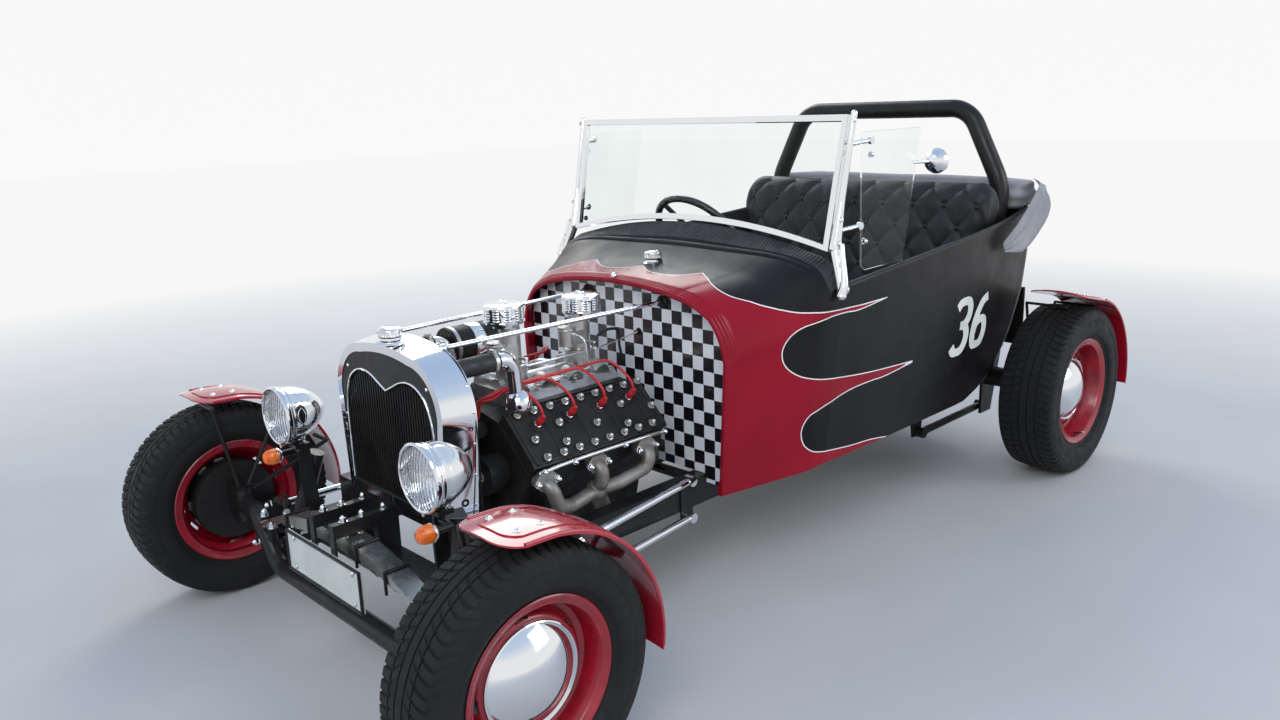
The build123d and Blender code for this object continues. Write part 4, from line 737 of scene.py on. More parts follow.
def rim_piece(side, end, spec, centre, body):
    """Painted steel rim: rolled flange, drop centre, slotted disc, and the chrome dome on it."""
    *_, seat_r, flange_r, rim_half = spec
    out = Vector((side, 0, 0))
    well = seat_r - 18
    rim = Builder(f"{end}_rim_{WORD[side]}_pressing", body, "rim", "chrome", "black", "rubber")
    barrel = [  # along, radius
        (-rim_half + 1, flange_r - 9), (-rim_half, flange_r - 3), (-rim_half + 2, flange_r),
        (-rim_half + 5, flange_r - 1), (-rim_half + 6, seat_r + 6), (-rim_half + 9, seat_r),
        (-40, seat_r - 2), (-30, well), (4, well), (12, seat_r - 2),
        (rim_half - 9, seat_r), (rim_half - 6, seat_r + 6), (rim_half - 5, flange_r - 1),
        (rim_half - 2, flange_r), (rim_half, flange_r - 3), (rim_half - 1, flange_r - 8),
        (rim_half - 5, flange_r - 12), (rim_half - 8, seat_r - 4), (rim_half - 13, seat_r - 6.5),
        (20, seat_r - 8),
        (13, seat_r - 11), (7, well - 5), (-30, well - 5), (-44, seat_r - 8), (-rim_half + 6, seat_r - 6),
        (-rim_half + 1, flange_r - 9),
    ]
    rim.finish("rim").lathe(barrel, centre, out, 96)
    slotted_disc(rim, centre, out, well)
    dome = [(24, CAP_R - 4), (29, CAP_R - 1), (33, CAP_R), (36, CAP_R - 1.2), (37.5, CAP_R - 4)]
    flat = CAP_R - 6
    curve = (flat * flat + CAP_RISE * CAP_RISE) / (2 * CAP_RISE)
    whole = atan2(flat, curve - CAP_RISE)
    for k in range(CAP_STEPS + 1):
        angle = whole * (1 - k / CAP_STEPS)
        dome.append((36 + CAP_RISE - curve * (1 - cos(angle)) - 4.5, curve * sin(angle)))
    rim.finish("chrome").lathe(dome, centre, out, 96)
    rim.finish("black").lathe(
        [(-46, 30), (-46, 116), (-40, 118), (4, 118), (8, 112), (8, 30)], centre, out, 64)
    stem = centre + Vector((side * (rim_half - 22) * MM, 0, -(seat_r - 12) * MM))
    rim.finish("rubber").rod(stem, stem + Vector((side * 26 * MM, 0, 9 * MM)), 4.2)
    tip = stem + Vector((side * 24 * MM, 0, 8 * MM))
    rim.finish("chrome").rod(tip, stem + Vector((side * 36 * MM, 0, 12 * MM)), 3.6)
    return rim.build(angle=34, replaces=(f"{end}_rim_{WORD[side]}",))


def slotted_disc(rim, centre, out, well):
    """Disc that dips behind the well, rises to the ring under the cap, and has slots in pairs."""
    profile = [  # along, radius
        (4, well - 4), (10, well - 6), (13, well - 9), (17, well - 14), (22, CAP_R + 13), (27, CAP_R + 7),
        (29, CAP_R + 3), (30, CAP_R - 6),
    ]
    back = [(along - DISC_THICK, radius) for along, radius in profile]
    low, high = 3, 5  # the points of the profile between which the slots are open
    slots = [turn + way * PAIR_HALF + PAIR_FIRST for turn in turns(SLOT_PAIRS) for way in (-1, 1)]
    cuts = sorted({round(slot + share * SLOT_HALF, 5) for slot in slots for share in (-1, -0.8, 0.8, 1)})

    def apart(angle, other):
        return abs((angle - other + pi) % (2 * pi) - pi)

    def ring_point(angle, along, radius):
        return centre + out * (along * MM) + Vector((0, cos(angle), sin(angle))) * (radius * MM)

    even = [angle for angle in turns(DISC_STEPS) if all(apart(angle, cut) > radians(1.6) for cut in cuts)]
    angles = sorted(angle % (2 * pi) for angle in cuts + even)
    rim.finish("rim")
    for angle, after in zip(angles, angles[1:] + [angles[0] + 2 * pi]):
        open_here = any(apart((angle + after) / 2, slot) < SLOT_HALF * 0.99 for slot in slots)
        for layer in (profile, back):
            near, far = ([ring_point(turn, *place) for place in layer] for turn in (angle, after))
            for j in range(len(layer) - 1):
                if not (open_here and low <= j < high):
                    rim.add([near[j], far[j], far[j + 1], near[j + 1]], [(0, 1, 2, 3)])
    for slot in slots:
        corners = [ring_point(slot + way * SLOT_HALF, *layer[j]) for layer in (profile, back)
                   for way, j in ((-1, low), (-1, high), (1, high), (1, low))]
        rim.add(corners, [(k, (k + 1) % 4, 4 + (k + 1) % 4, 4 + k) for k in range(4)])


def add_wheels():
    for side in SIDES:
        front_at = Vector((side * FRONT_X, AXLE_Y, FRONT_Z))
        rear_at = Vector((side * REAR_X, REAR_Y, REAR_Z))
        for end, spec, centre in (("front", FRONT_WHEEL, front_at), ("rear", REAR_WHEEL, rear_at)):
            body = f"wheel_{end}_{WORD[side]}"
            tyre_piece(side, end, spec, centre, body)
            rim_piece(side, end, spec, centre, body)



# Body

# station, half foot, half shoulder, foot z, shoulder z, haunch middle x and z, crown edge x and z, top z
COWL_ROWS = (
    (937, 429, 448, 297, 690, 412, 785, 250, 862, 882),
    (1112, 486, 535, 309, 750, 504, 838, 326, 889, 909),
    (1215, 520, 582, 318, 806, 556, 884, 380, 934, 957),
    (1275, 536, 592, 329, 858, 577, 906, 516, 944, 1014),
)
# station, half foot, half belt, belt z
TUB_ROWS = ((1275, 536, 592, 860), (1600, 544, 596, 888), (2000, 546, 590, 920), (2300, 532, 572, 945),
            (2602, 505, 545, 992))
# z, rearmost station
TAIL_ROWS = ((337, 2190), (364, 2290), (418, 2400), (540, 2500), (690, 2574), (830, 2592), (1010, 2580))
COWL_FRONT, BODY_JOIN, FIREWALL_AT = 937, 1275, 985
CROWN_STEPS, HAUNCH_STEPS, SIDE_STEPS = 70, 26, 70
SHOULDER = CROWN_STEPS + HAUNCH_STEPS
SIDE_BOW = 7


def row_at(rows, place):
    """The values of a table at a place, on a smooth curve that doesn't overshoot its rows."""
    table = np.array(rows, float)
    places = table[:, 0]
    last = len(rows) - 1
    k = int(np.clip(np.searchsorted(places, place) - 1, 0, last - 1))
    slopes = np.diff(table, axis=0) / np.diff(places)[:, None]

    def tangent(i):
        before, after = slopes[max(i - 1, 0)], slopes[min(i, last - 1)]
        same = before * after > 0
        return np.where(same, 2 * before * after / np.where(same, before + after, 1), 0)

    span = places[k + 1] - places[k]
    t = (place - places[k]) / span
    return ((2 * t ** 3 - 3 * t * t + 1) * table[k] + (t ** 3 - 2 * t * t + t) * tangent(k) * span
            + (3 * t * t - 2 * t ** 3) * table[k + 1] + (t ** 3 - t * t) * tangent(k + 1) * span)


def arc_points(first, middle, last, steps):
    """Points along the arc through three points of a plane."""
    (ax, ay), (bx, by), (cx, cy) = first, middle, last
    d = 2 * (ax * (by - cy) + bx * (cy - ay) + cx * (ay - by))
    a2, b2, c2 = ax * ax + ay * ay, bx * bx + by * by, cx * cx + cy * cy
    ux = (a2 * (by - cy) + b2 * (cy - ay) + c2 * (ay - by)) / d
    uy = (a2 * (cx - bx) + b2 * (ax - cx) + c2 * (bx - ax)) / d
    radius = hypot(ax - ux, ay - uy)
    start = atan2(ay - uy, ax - ux)
    turn = (atan2(cy - uy, cx - ux) - start + pi) % (2 * pi) - pi
    return [(ux + radius * cos(start + turn * k / steps), uy + radius * sin(start + turn * k / steps))
            for k in range(steps + 1)]


# how far in the section's points the hollow by the crown's edge is filled, and how often it is evened out
FILL_TO, EVEN_FROM, EVEN_ROUNDS = 84, 40, 70


def bridged(points):
    """The section without the hollow between its crown and its haunch."""
    hull = []
    for x, z in points[:FILL_TO]:
        while len(hull) > 1:
            (x0, z0), (x1, z1) = hull[-2:]
            if (x1 - x0) * (z - z1) - (z1 - z0) * (x - x1) < 0:
                break
            hull.pop()
        hull.append((x, z))
    xs, zs = zip(*hull)
    heights = [float(np.interp(x, xs, zs)) for x, _ in points[:FILL_TO]] + [z for _, z in points[FILL_TO:]]
    for _ in range(EVEN_ROUNDS):
        inner = [heights[k] + 0.25 * (heights[k - 1] - 2 * heights[k] + heights[k + 1])
                 for k in range(EVEN_FROM, FILL_TO)]
        heights[EVEN_FROM:FILL_TO] = inner
    return [(x, z) for (x, _), z in zip(points, heights)]


def cowl_half(station):
    """Section of the cowl from its top centre out and down to its foot, as (x, z)."""
    _, low_x, side_x, low_z, side_z, mid_x, mid_z, crown_x, crown_z, top_z = row_at(COWL_ROWS, station)
    crown = arc_points((-crown_x, crown_z), (0, top_z), (crown_x, crown_z), 2 * CROWN_STEPS)[CROWN_STEPS:]
    haunch = arc_points((crown_x, crown_z), (mid_x, mid_z), (side_x, side_z), HAUNCH_STEPS)
    side = [(side_x + (low_x - side_x) * k / SIDE_STEPS, side_z + (low_z - side_z) * k / SIDE_STEPS)
            for k in range(SIDE_STEPS + 1)]
    return bridged(crown + haunch[1:]) + side[1:]


def paint_heights(section):
    """z of each point below the shoulder, carried on along the section above it."""
    heights = [z for _, z in section]
    for k in range(SHOULDER - 1, -1, -1):
        heights[k] = heights[k + 1] + hypot(section[k][0] - section[k + 1][0],
                                            section[k][1] - section[k + 1][1])
    return heights


def tub_foot(station):
    return 316.3 + 0.0094 * station


def tub_x(station, z):
    """Half width of the tub at a station and height."""
    _, low_x, belt_x, belt_z = row_at(TUB_ROWS, station)
    t = (z - tub_foot(station)) / (belt_z - tub_foot(station))
    bow = SIDE_BOW * smooth(BODY_JOIN - 10, BODY_JOIN + 220, station)
    return low_x + (belt_x - low_x) * t + 4 * bow * t * (1 - t)


# Painted edge of the left side, as (station, x) on the top and (station, z) on the flank. It bounds the red
# from the middle of the cowl's front: three points between the scallops, then the tongues and rounded fronts.
SCALLOPS = (((1067, 0), (1029, 72), (1036, 152), (1086, 231)),
            ((1086, 231), (1032, 322), (1022, 378), (1034, 421), (1059, 465), (1094, 503)))
FLANK_LINES = (
    ((1136, 809), (1193, 803), (1250, 801), (1310, 800), (1390, 799), (1506, 802)),
    ((1506, 802), (1369, 786), (1300, 788), (1240, 786), (1180, 775), (1140, 764), (1109, 742), (1093, 714),
     (1091, 690), (1100, 664), (1122, 640), (1160, 618), (1220, 602), (1300, 592), (1433, 580), (1716, 564)),
    ((1716, 564), (1542, 549), (1470, 549), (1391, 545), (1330, 536), (1270, 521), (1222, 505), (1196, 493),
     (1180, 469), (1176, 440), (1188, 407), (1211, 385), (1241, 372), (1306, 363), (1405, 352), (1506, 345),
     (1600, 331)),
)


# the red ends at this station, and its region closes below the body at this height
RED_BACK, RED_LOW = 1600, 200
# paint distances further than these aren't told apart, in millimetres
NEAR_ALONG, NEAREST = 90, 60
RED, BLACK = -0.05, 0.05


class Paint:
    """The painted edge as points on the left side, and the signed distance from it."""

    def __init__(self):
        start = SCALLOPS[0][0][0]
        red = [(COWL_FRONT - 20, self.height_over(COWL_FRONT, 0) + 60),
               (start, self.height_over(start, 0) + 60)]
        runs = [self.rounded([(station, self.height_over(station, x)) for station, x in part])
                for part in SCALLOPS]
        first = FLANK_LINES[0]
        join = [runs[-1][-1], *first[:2]]
        runs.append(self.rounded(join)[:-1] + self.rounded(first[1:]))
        runs += [self.rounded(part) for part in FLANK_LINES[1:]]
        for run in runs:
            red += run
        red += [(RED_BACK, RED_LOW), (COWL_FRONT - 20, RED_LOW)]
        self.region = np.array(red)
        lines = [[self.place(*spot) for spot in run] for run in runs]
        self.starts = np.array([spot for line in lines for spot in line[:-1]])
        self.ends = np.array([spot for line in lines for spot in line[1:]])

    @staticmethod
    def height_over(station, x):
        section = cowl_half(station)
        heights = paint_heights(section)
        return float(np.interp(x, [p[0] for p in section[:SHOULDER]], heights[:SHOULDER]))

    @staticmethod
    def rounded(points):
        return [(p.x, p.y) for p in curve_through([(a, b, 0) for a, b in points], 10)]

    @staticmethod
    def place(station, height):
        """Point on the body at a station and paint height."""
        if station >= BODY_JOIN:
            return (tub_x(station, height), station, height)
        section = cowl_half(station)
        heights = paint_heights(section)[::-1]
        xs, zs = zip(*section[::-1])
        return (float(np.interp(height, heights, xs)), station, float(np.interp(height, heights, zs)))

    def distance(self, points, stations, heights):
        """Signed distance in metres of points from the painted edge, positive on the black side."""
        points = np.array(points, float)
        stations, heights = np.array(stations, float), np.array(heights, float)
        nearest = np.full(len(points), 1e9)
        for a, b in zip(self.starts, self.ends):
            span = b - a
            near = np.abs(points[:, 1] - (a[1] + b[1]) / 2) < NEAR_ALONG
            rest = points[near] - a
            t = np.clip(rest @ span / max(span @ span, 1e-9), 0, 1)
            gap = np.linalg.norm(rest - t[:, None] * span, axis=1)
            nearest[near] = np.minimum(nearest[near], gap)
        nearest = np.minimum(nearest, NEAREST)
        inside = np.zeros(len(points), bool)
        count = len(self.region)
        for k in range(count):
            (s0, h0), (s1, h1) = self.region[k], self.region[(k + 1) % count]
            if h0 == h1:
                continue
            crosses = (h0 > heights) != (h1 > heights)
            inside ^= crosses & (stations < (s1 - s0) * (heights - h0) / (h1 - h0) + s0)
        return np.where(inside, -nearest, nearest) * MM


PAINT = Paint()


def set_paint(piece, values):
    layer = piece.data.attributes.new("paint_edge", "FLOAT", "POINT")
    layer.data.foreach_set("value", values)


# distance behind the cowl's edge, height of the surface above its even line
LIP = ((0, -9), (1, -5), (3, -3), (5, -2.4), (7, -3), (8.5, -5.2), (10, -3), (12, -1.4), (14, -1), (16, -1.8),
       (17.5, -4), (19, -1.6), (21, -0.2), (23, -0.2), (25, -1.5), (26.5, -3), (28, -1.6), (31, 0))
BEAD_AT, BEAD_HALF, BEAD_RISE = 1211, 8, 5.5
ROLL_START = 1221
COWL_WALL = 16


def cowl_rise(station, index):
    """Height of lip ridges, bead and roll above the even surface."""
    above = 1 - smooth(SHOULDER - 1, SHOULDER + 2, index)
    upper = 1 - smooth(CROWN_STEPS - 4, SHOULDER - 6, index)
    rise = 0.0
    if station < COWL_FRONT + LIP[-1][0]:
        rise += lerp_table(LIP, station - COWL_FRONT) * above
        rise += min(0.0, (station - COWL_FRONT - 3) * 0.8) * (1 - above)
    across = (station - BEAD_AT) / BEAD_HALF
    if abs(across) < 1.35:
        rise += (BEAD_RISE * sqrt(max(0, 1 - across * across)) - 1.5 * smooth(0.9, 1.0, abs(across))) * upper
    if ROLL_START <= station <= BODY_JOIN:
        t = (station - ROLL_START) / (BODY_JOIN - ROLL_START)
        rise += (-3 * (1 - smooth(0, 0.12, t)) + 5 * sin(pi * min(1, t)) ** 0.8) * upper
    return rise


def section_points(station, inset=0.0):
    """Left half of the cowl's skin at a station, pushed out by its rise and in by the inset."""
    section = cowl_half(station)
    out = []
    last = len(section) - 1
    for k, (x, z) in enumerate(section):
        x0, z0 = section[max(k - 1, 0)]
        x1, z1 = section[min(k + 1, last)]
        if k == 0:
            x0 = -section[1][0]
            z0 = section[1][1]
        length = hypot(x1 - x0, z1 - z0)
        push = cowl_rise(station, k) - inset
        out.append((x - push * (z1 - z0) / length, z + push * (x1 - x0) / length))
    return out


def full_row(station, half):
    left = [at(x, station, z) for x, z in half]
    right = [at(-x, station, z) for x, z in half[:0:-1]]
    return right + left


def add_cowl():
    """Cowl skin with its rolled lip, bead, padded scuttle and painted scallops."""
    stations = [COWL_FRONT + back for back, _ in LIP]
    stations += list(np.arange(COWL_FRONT + 37, BEAD_AT - 10, 5.5))
    stations += [BEAD_AT + BEAD_HALF * k / 6 for k in range(-8, 9)]
    stations += list(np.arange(ROLL_START + 3, BODY_JOIN, 5))
    stations.append(BODY_JOIN)
    skin = Builder("cowl_skin", "chassis", "body", "scuttle", "black")
    marks, heights, places = [], [], []
    for station in stations:
        section = cowl_half(station)
        line = paint_heights(section)
        marks += [station] * (2 * len(section) - 1)
        heights += line[:0:-1] + line
        places += [(x, station, z) for x, z in section[:0:-1] + section]
    rows = [full_row(station, section_points(station)) for station in stations]
    skin.finish("body").grid(rows)
    width = len(rows[0]) - 1
    centre = len(cowl_half(COWL_FRONT)) - 1
    ribbed = range(centre - SHOULDER + 4, centre + SHOULDER - 4)
    key = skin.finishes.index("scuttle")
    for i, station in enumerate(stations[:-1]):
        if station >= ROLL_START + 4:
            for j in ribbed:
                skin.marks[i * width + j] = key
    values = list(PAINT.distance(places, marks, heights))
    inner = [full_row(station, section_points(station, COWL_WALL))
             for station in (FIREWALL_AT - 1, 965, COWL_FRONT + 4)]
    inner.append(full_row(COWL_FRONT + 0.6, section_points(COWL_FRONT, 5)))
    skin.finish("body").grid(inner)
    skin.grid([inner[-1], rows[0]])
    values += [RED] * (len(inner) + 2) * len(rows[0])
    back = [full_row(BODY_JOIN, section_points(BODY_JOIN)),
            full_row(BODY_JOIN + 1, section_points(BODY_JOIN, 6)),
            full_row(BODY_JOIN + 2, section_points(BODY_JOIN, COWL_WALL)),
            full_row(BODY_JOIN - 60, section_points(BODY_JOIN - 60, COWL_WALL + 8))]
    skin.finish("black").grid(back)
    values += [BLACK] * len(back) * len(rows[0])
    lining = [full_row(station, section_points(station, COWL_WALL)) for station in range(993, 1270, 34)]
    skin.finish("black").grid(lining)
    values += [BLACK] * len(lining) * len(lining[0])
    for side in SIDES:
        foot = []
        for station in stations:
            x, z = cowl_half(station)[-1]
            foot.append([at(side * x, station, z), at(side * (x - 2), station, z - 1.5),
                         at(side * (x - COWL_WALL), station, z - 1),
                         at(side * (x - COWL_WALL), station, z + 40)])
        skin.finish("body").grid(foot)
        values += [RED] * 4 * len(stations)
    piece = skin.build(angle=40, replaces=("cowl",), weld=False)
    set_paint(piece, values)

    trim = Builder("cowl_trim", "chassis", "red", "chrome", "black")
    for side in SIDES:
        line = [at(side * (x + 0.2), station, z) for station, x, z in
                ((948, 451, 694), (985, 464, 703), (1030, 480, 712), (1070, 498, 722), (1108, 531, 741))]
        trim.finish("red").tube(curve_through(line, 6), 1.3, 8)
    trim.finish("chrome").ball(at(0, COWL_FRONT + 9, 886), 9.5, 12, 20)
    trim.lathe([(-6, 7), (0, 6), (6, 5)], at(0, COWL_FRONT + 9, 881), UP, 16)
    for x in (-24, -18):
        trim.finish("red").rod(at(x, COWL_FRONT + 2, 878), at(x, COWL_FRONT + 12, 878.5), 2.6, 10)
    trim.build(angle=34)


TEETH = 30


def filler_top(piece, foot, radius, height):
    """Screw cap on its neck: threaded collar, knurled band and a domed top."""
    piece.finish("chrome")
    neck = [(0, 1.18), (2, 1.2), (4, 1.08), (6, 0.86), (height * 0.3, 0.84)]
    piece.lathe([(along, radius * share) for along, share in neck], foot, UP, 40)
    # The black band between the neck and the cap is painted shade in the gap.
    gap = [(height * 0.28, radius * 0.9), (height * 0.36, radius * 0.9)]
    piece.finish("black").lathe(gap, foot, UP, 40)
    low, high = height * 0.38, height * 0.8
    rows = []
    for k, angle in enumerate(turns(TEETH * 4)):
        bulge = radius + (0.7 if k % 4 in (1, 2) else -0.7)
        spoke = Vector((cos(angle), sin(angle), 0))
        row = [(low - 2, radius * 0.8), (low - 1, radius - 1), (low, radius), (low + 2, radius + 0.4),
               (low + 3, bulge), (high - 3, bulge), (high - 2, radius + 0.4), (high, radius - 0.4),
               (high + 2, radius - 3), (high + 3.5, radius * 0.72), (high + 4, radius * 0.66),
               (high + 3, radius * 0.6), (height - 3, radius * 0.3), (height - 2.6, 0.01)]
        rows.append([Vector(foot) + Vector((0, 0, along * MM)) + spoke * (r * MM) for along, r in row])
    piece.finish("chrome").grid(rows, close_u=True)


def tub_height(station, share):
    belt = row_at(TUB_ROWS, station)[3]
    return tub_foot(station) + share * (belt - tub_foot(station))


TUB_END = 2560
# the painted part of the side has its points closer together, up to this station
FINE_TO = 1730
# the corner of the tail, as half widths and distance before its end
CORNER_OUT, CORNER_IN, CORNER_BACK = 510, 428, 26
TAIL_STEPS = 14


def tub_outline(share):
    """One level of the tub: back along the side, round the corner and to the middle of the tail."""
    rear = TUB_END
    for _ in range(4):
        rear = lerp_table(TAIL_ROWS, tub_height(min(rear, TUB_END), share))
    turn_at = rear - 110
    points = []
    fine = [BODY_JOIN - 0.6, *np.arange(BODY_JOIN + 5, FINE_TO, 6.0)]
    for station in [*fine, *np.linspace(FINE_TO, turn_at, 26)]:
        z = tub_height(station, share)
        points.append((tub_x(station, z), station, z))
    x, _, z = points[-1]
    wide = x / 550
    corner = arc_points((x, turn_at), (CORNER_OUT * wide, rear - CORNER_BACK), (CORNER_IN * wide, rear), 16)
    points += [(a, b, z) for a, b in corner[1:]]
    points += [(CORNER_IN * wide * (1 - k / TAIL_STEPS), rear, z) for k in range(1, TAIL_STEPS + 1)]
    return points


BELT_ROLL, ROLL_STEPS = 11, 8
TUB_LEVELS = 84
WALL_SHARES = (1.0, 0.97, 0.85, 0.65, 0.4, 0.2, 0.02)


def plan_normals(points):
    """Outward direction in plan at each point of a level, for the left side."""
    out = []
    last = len(points) - 1
    for k in range(len(points)):
        x0, s0, _ = points[max(k - 1, 0)]
        x1, s1, _ = points[min(k + 1, last)]
        length = max(hypot(x1 - x0, s1 - s0), 1e-6)
        out.append(((s1 - s0) / length, -(x1 - x0) / length))
    return out


def moved(level, side, inward, up):
    """A level of the tub on one side, drawn inward and lifted."""
    return [at(side * (x - inward * outx), station - inward * outy, z + up)
            for (x, station, z), (outx, outy) in zip(level, plan_normals(level))]


def add_tub():
    """Tub skin with its rolled belt, and its inner walls."""
    shares = [k / TUB_LEVELS for k in range(TUB_LEVELS + 1)]
    skin = Builder("tub_skin", "chassis", "body", "black", "vinyl")
    values = []
    for side in SIDES:
        levels = [tub_outline(share) for share in shares]
        rows = [[at(side * x, station, z) for x, station, z in level] for level in levels]
        flat = [point for level in levels for point in level]
        values += list(PAINT.distance(flat, [p[1] for p in flat], [p[2] for p in flat]))
        skin.finish("body").grid(rows)
        roll = [moved(levels[-1], side, BELT_ROLL * (1 - cos(angle)), BELT_ROLL * sin(angle) - 1)
                for angle in (pi * k / ROLL_STEPS for k in range(ROLL_STEPS + 1))]
        skin.finish("black").grid(roll)
        wall = [moved(tub_outline(share), side, 2 * BELT_ROLL, -1) for share in WALL_SHARES]
        skin.finish("vinyl").grid(wall)
        values += [BLACK] * (len(roll) + len(wall)) * len(levels[-1])
        hem = [moved(levels[0], side, inward, up) for inward, up in ((0, 0), (2, -2), (24, -2), (24, 30))]
        skin.finish("body").grid(hem)
        values += [RED if station < RED_BACK else BLACK for _ in hem for _, station, _ in levels[0]]
    piece = skin.build(angle=40, replaces=("body_tub",), weld=False)
    set_paint(piece, values)

    panel = Builder("tail_panel", "chassis", "black", "chrome")
    panel.finish("black").prism(rectangle(2580, (-515, 444), (515, 667)), (0, 0.012, 0), 2.5)
    for x in (-488, 488):
        for z in (470, 640):
            panel.finish("chrome").screw(at(x, 2592, z), AFT, 7)
    panel.build()


# Plain digits, each of strokes on a grid 2 wide and 4 high.
DIGITS = {"3": (((0, 3.6), (0.5, 4), (1.5, 4), (2, 3.5), (2, 2.7), (1.5, 2.2), (0.8, 2.1)),
                ((0.8, 2.1), (1.5, 2.0), (2, 1.4), (2, 0.6), (1.5, 0), (0.5, 0), (0, 0.5))),
          "6": (((1.8, 3.9), (0.9, 3.5), (0.2, 2.4), (0, 1.2), (0.3, 0.2), (1.0, 0), (1.7, 0.2), (2, 1.1),
                 (1.7, 1.9), (1.0, 2.1), (0.3, 1.8), (0.05, 1.1)),)}
NUMBER = (("3", 1935), ("6", 2075))
NUMBER_FOOT, DIGIT_WIDE, DIGIT_HIGH, STROKE, NUMBER_LEAN = 540, 88, 168, 14, 26


def add_number():
    """Painted number in plain digits on both doors."""
    for side in SIDES:
        paint = Builder(f"race_number_{WORD[side]}", "chassis", "white")
        stations = [station for _, station in NUMBER]
        digits = [digit for digit, _ in NUMBER][::side]
        for digit, station in zip(digits, stations):
            for stroke in DIGITS[digit]:
                points = []
                for a, b in stroke:
                    a = a if side == LEFT else 2 - a
                    lean = NUMBER_LEAN * b / 4 * side
                    points.append((station + a * DIGIT_WIDE / 2 + lean, NUMBER_FOOT + b * DIGIT_HIGH / 4, 0))
                line = curve_through(points, 6)
                rows = []
                for k, point in enumerate(line):
                    ahead = (line[min(k + 1, len(line) - 1)] - line[max(k - 1, 0)]).normalized()
                    across = Vector((-ahead.y, ahead.x, 0)) * STROKE * (1 + 0.35 * abs(ahead.y))
                    spots = [point + across * t for t in (-1, -0.5, 0, 0.5, 1)]
                    rows.append([at(side * (tub_x(spot.x, spot.y) + 0.7), spot.x, spot.y) for spot in spots])
                paint.finish("white").grid(rows)
        paint.build()


add_cowl()
add_tub()
add_number()


# Engine bay

# lower outer corner and up-slope direction of a head's outer face, left side
HEAD_FOOT = (268, 493)
SLOPE = sqrt(0.5)
NUT_PITCH = 54.2
MIDDLE_NUTS = ((446, 71), (532, 40), (544, 98), (657, 66), (752, 36), (767, 98), (865, 66))
PLUG_FIRST, PLUG_PITCH, PLUG_UP = 477, 109, 110
# where a head's rows of nuts, its ribs and its edges lie, as stations and distances up its face
LOW_NUTS, HIGH_NUTS = (452, 14), (436, 152)
RIB_STATIONS, RIB_ENDS = (505, 614, 723, 832), (26, 140)
HEAD_CORNERS = ((416, 4), (872, 4), (872, 162), (416, 162))


def on_head(side, station, up, out=0.0):
    """Point on a head's outer face, up the slope from its lower corner and out along its normal."""
    return at(side * (HEAD_FOOT[0] - up * SLOPE + out * SLOPE), station, HEAD_FOOT[1] + (up + out) * SLOPE)


def head_normal(side):
    return Vector((side * SLOPE, 0, SLOPE))


def spline_piece(name, points, diameter, key):
    """One open NURBS spline with round section, and its length."""
    data = bpy.data.curves.new(name, "CURVE")
    data.dimensions = "3D"
    spline = data.splines.new("NURBS")
    spline.points.add(len(points) - 1)
    for knot, point in zip(spline.points, points):
        knot.co = (*point, 1)
    spline.order_u = 3
    spline.use_endpoint_u = True
    spline.resolution_u = 16
    piece = bpy.data.objects.new(name, data)
    show(piece)
    line = bpy.data.meshes.new_from_object(piece)
    spots = [v.co.copy() for v in line.vertices]
    length = sum((b - a).length for a, b in zip(spots, spots[1:]))
    data.bevel_depth = diameter / 2
    data.bevel_resolution = 4
    data.use_fill_caps = True
    data.materials.append(M[key])
    return piece, length


LEAD = 0.0075
# the leads of a side lie in two layers and two columns along its inner edge, then cross to the distributor
BUNDLE_X, BUNDLE_Z, BUNDLE_GAP = 116, 662, 9
BUNDLE_TURN = 505


def add_leads():
    """Eight plug leads, gathered over each head's inner edge and led to the distributor."""
    for side in SIDES:
        for k in range(4):
            station = PLUG_FIRST + PLUG_PITCH * k
            x, z = BUNDLE_X - BUNDLE_GAP * (k % 2), BUNDLE_Z + BUNDLE_GAP * (k // 2)
            places = [(x + 28, station - 14, z + 12), (x, station - 46, z)]
            if k > 0:
                places.append((x, max(station - 110, 500), z))
            if k > 1:
                places.append((x, BUNDLE_TURN, z))
            places += [(x - 4, 425, z - 8), (x - 10, 392, z - 20), (84 - 7 * k, 374, 640 - 3 * k),
                       (80 - 9 * k, 372, 592)]
            points = [on_head(side, station, PLUG_UP, 24), on_head(side, station, PLUG_UP + 4, 66)]
            points += [at(side * a, b, c) for a, b, c in places]
            piece, length = spline_piece(f"plug_lead_{WORD[side]}_{k + 1}", points, LEAD, "lead")
            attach(piece, "chassis")


# along, radius
PLUG_BOOT = ((9, 8), (12, 9.2), (24, 8.6), (36, 7.2), (44, 5.6), (47, 4.4), (47, 0))


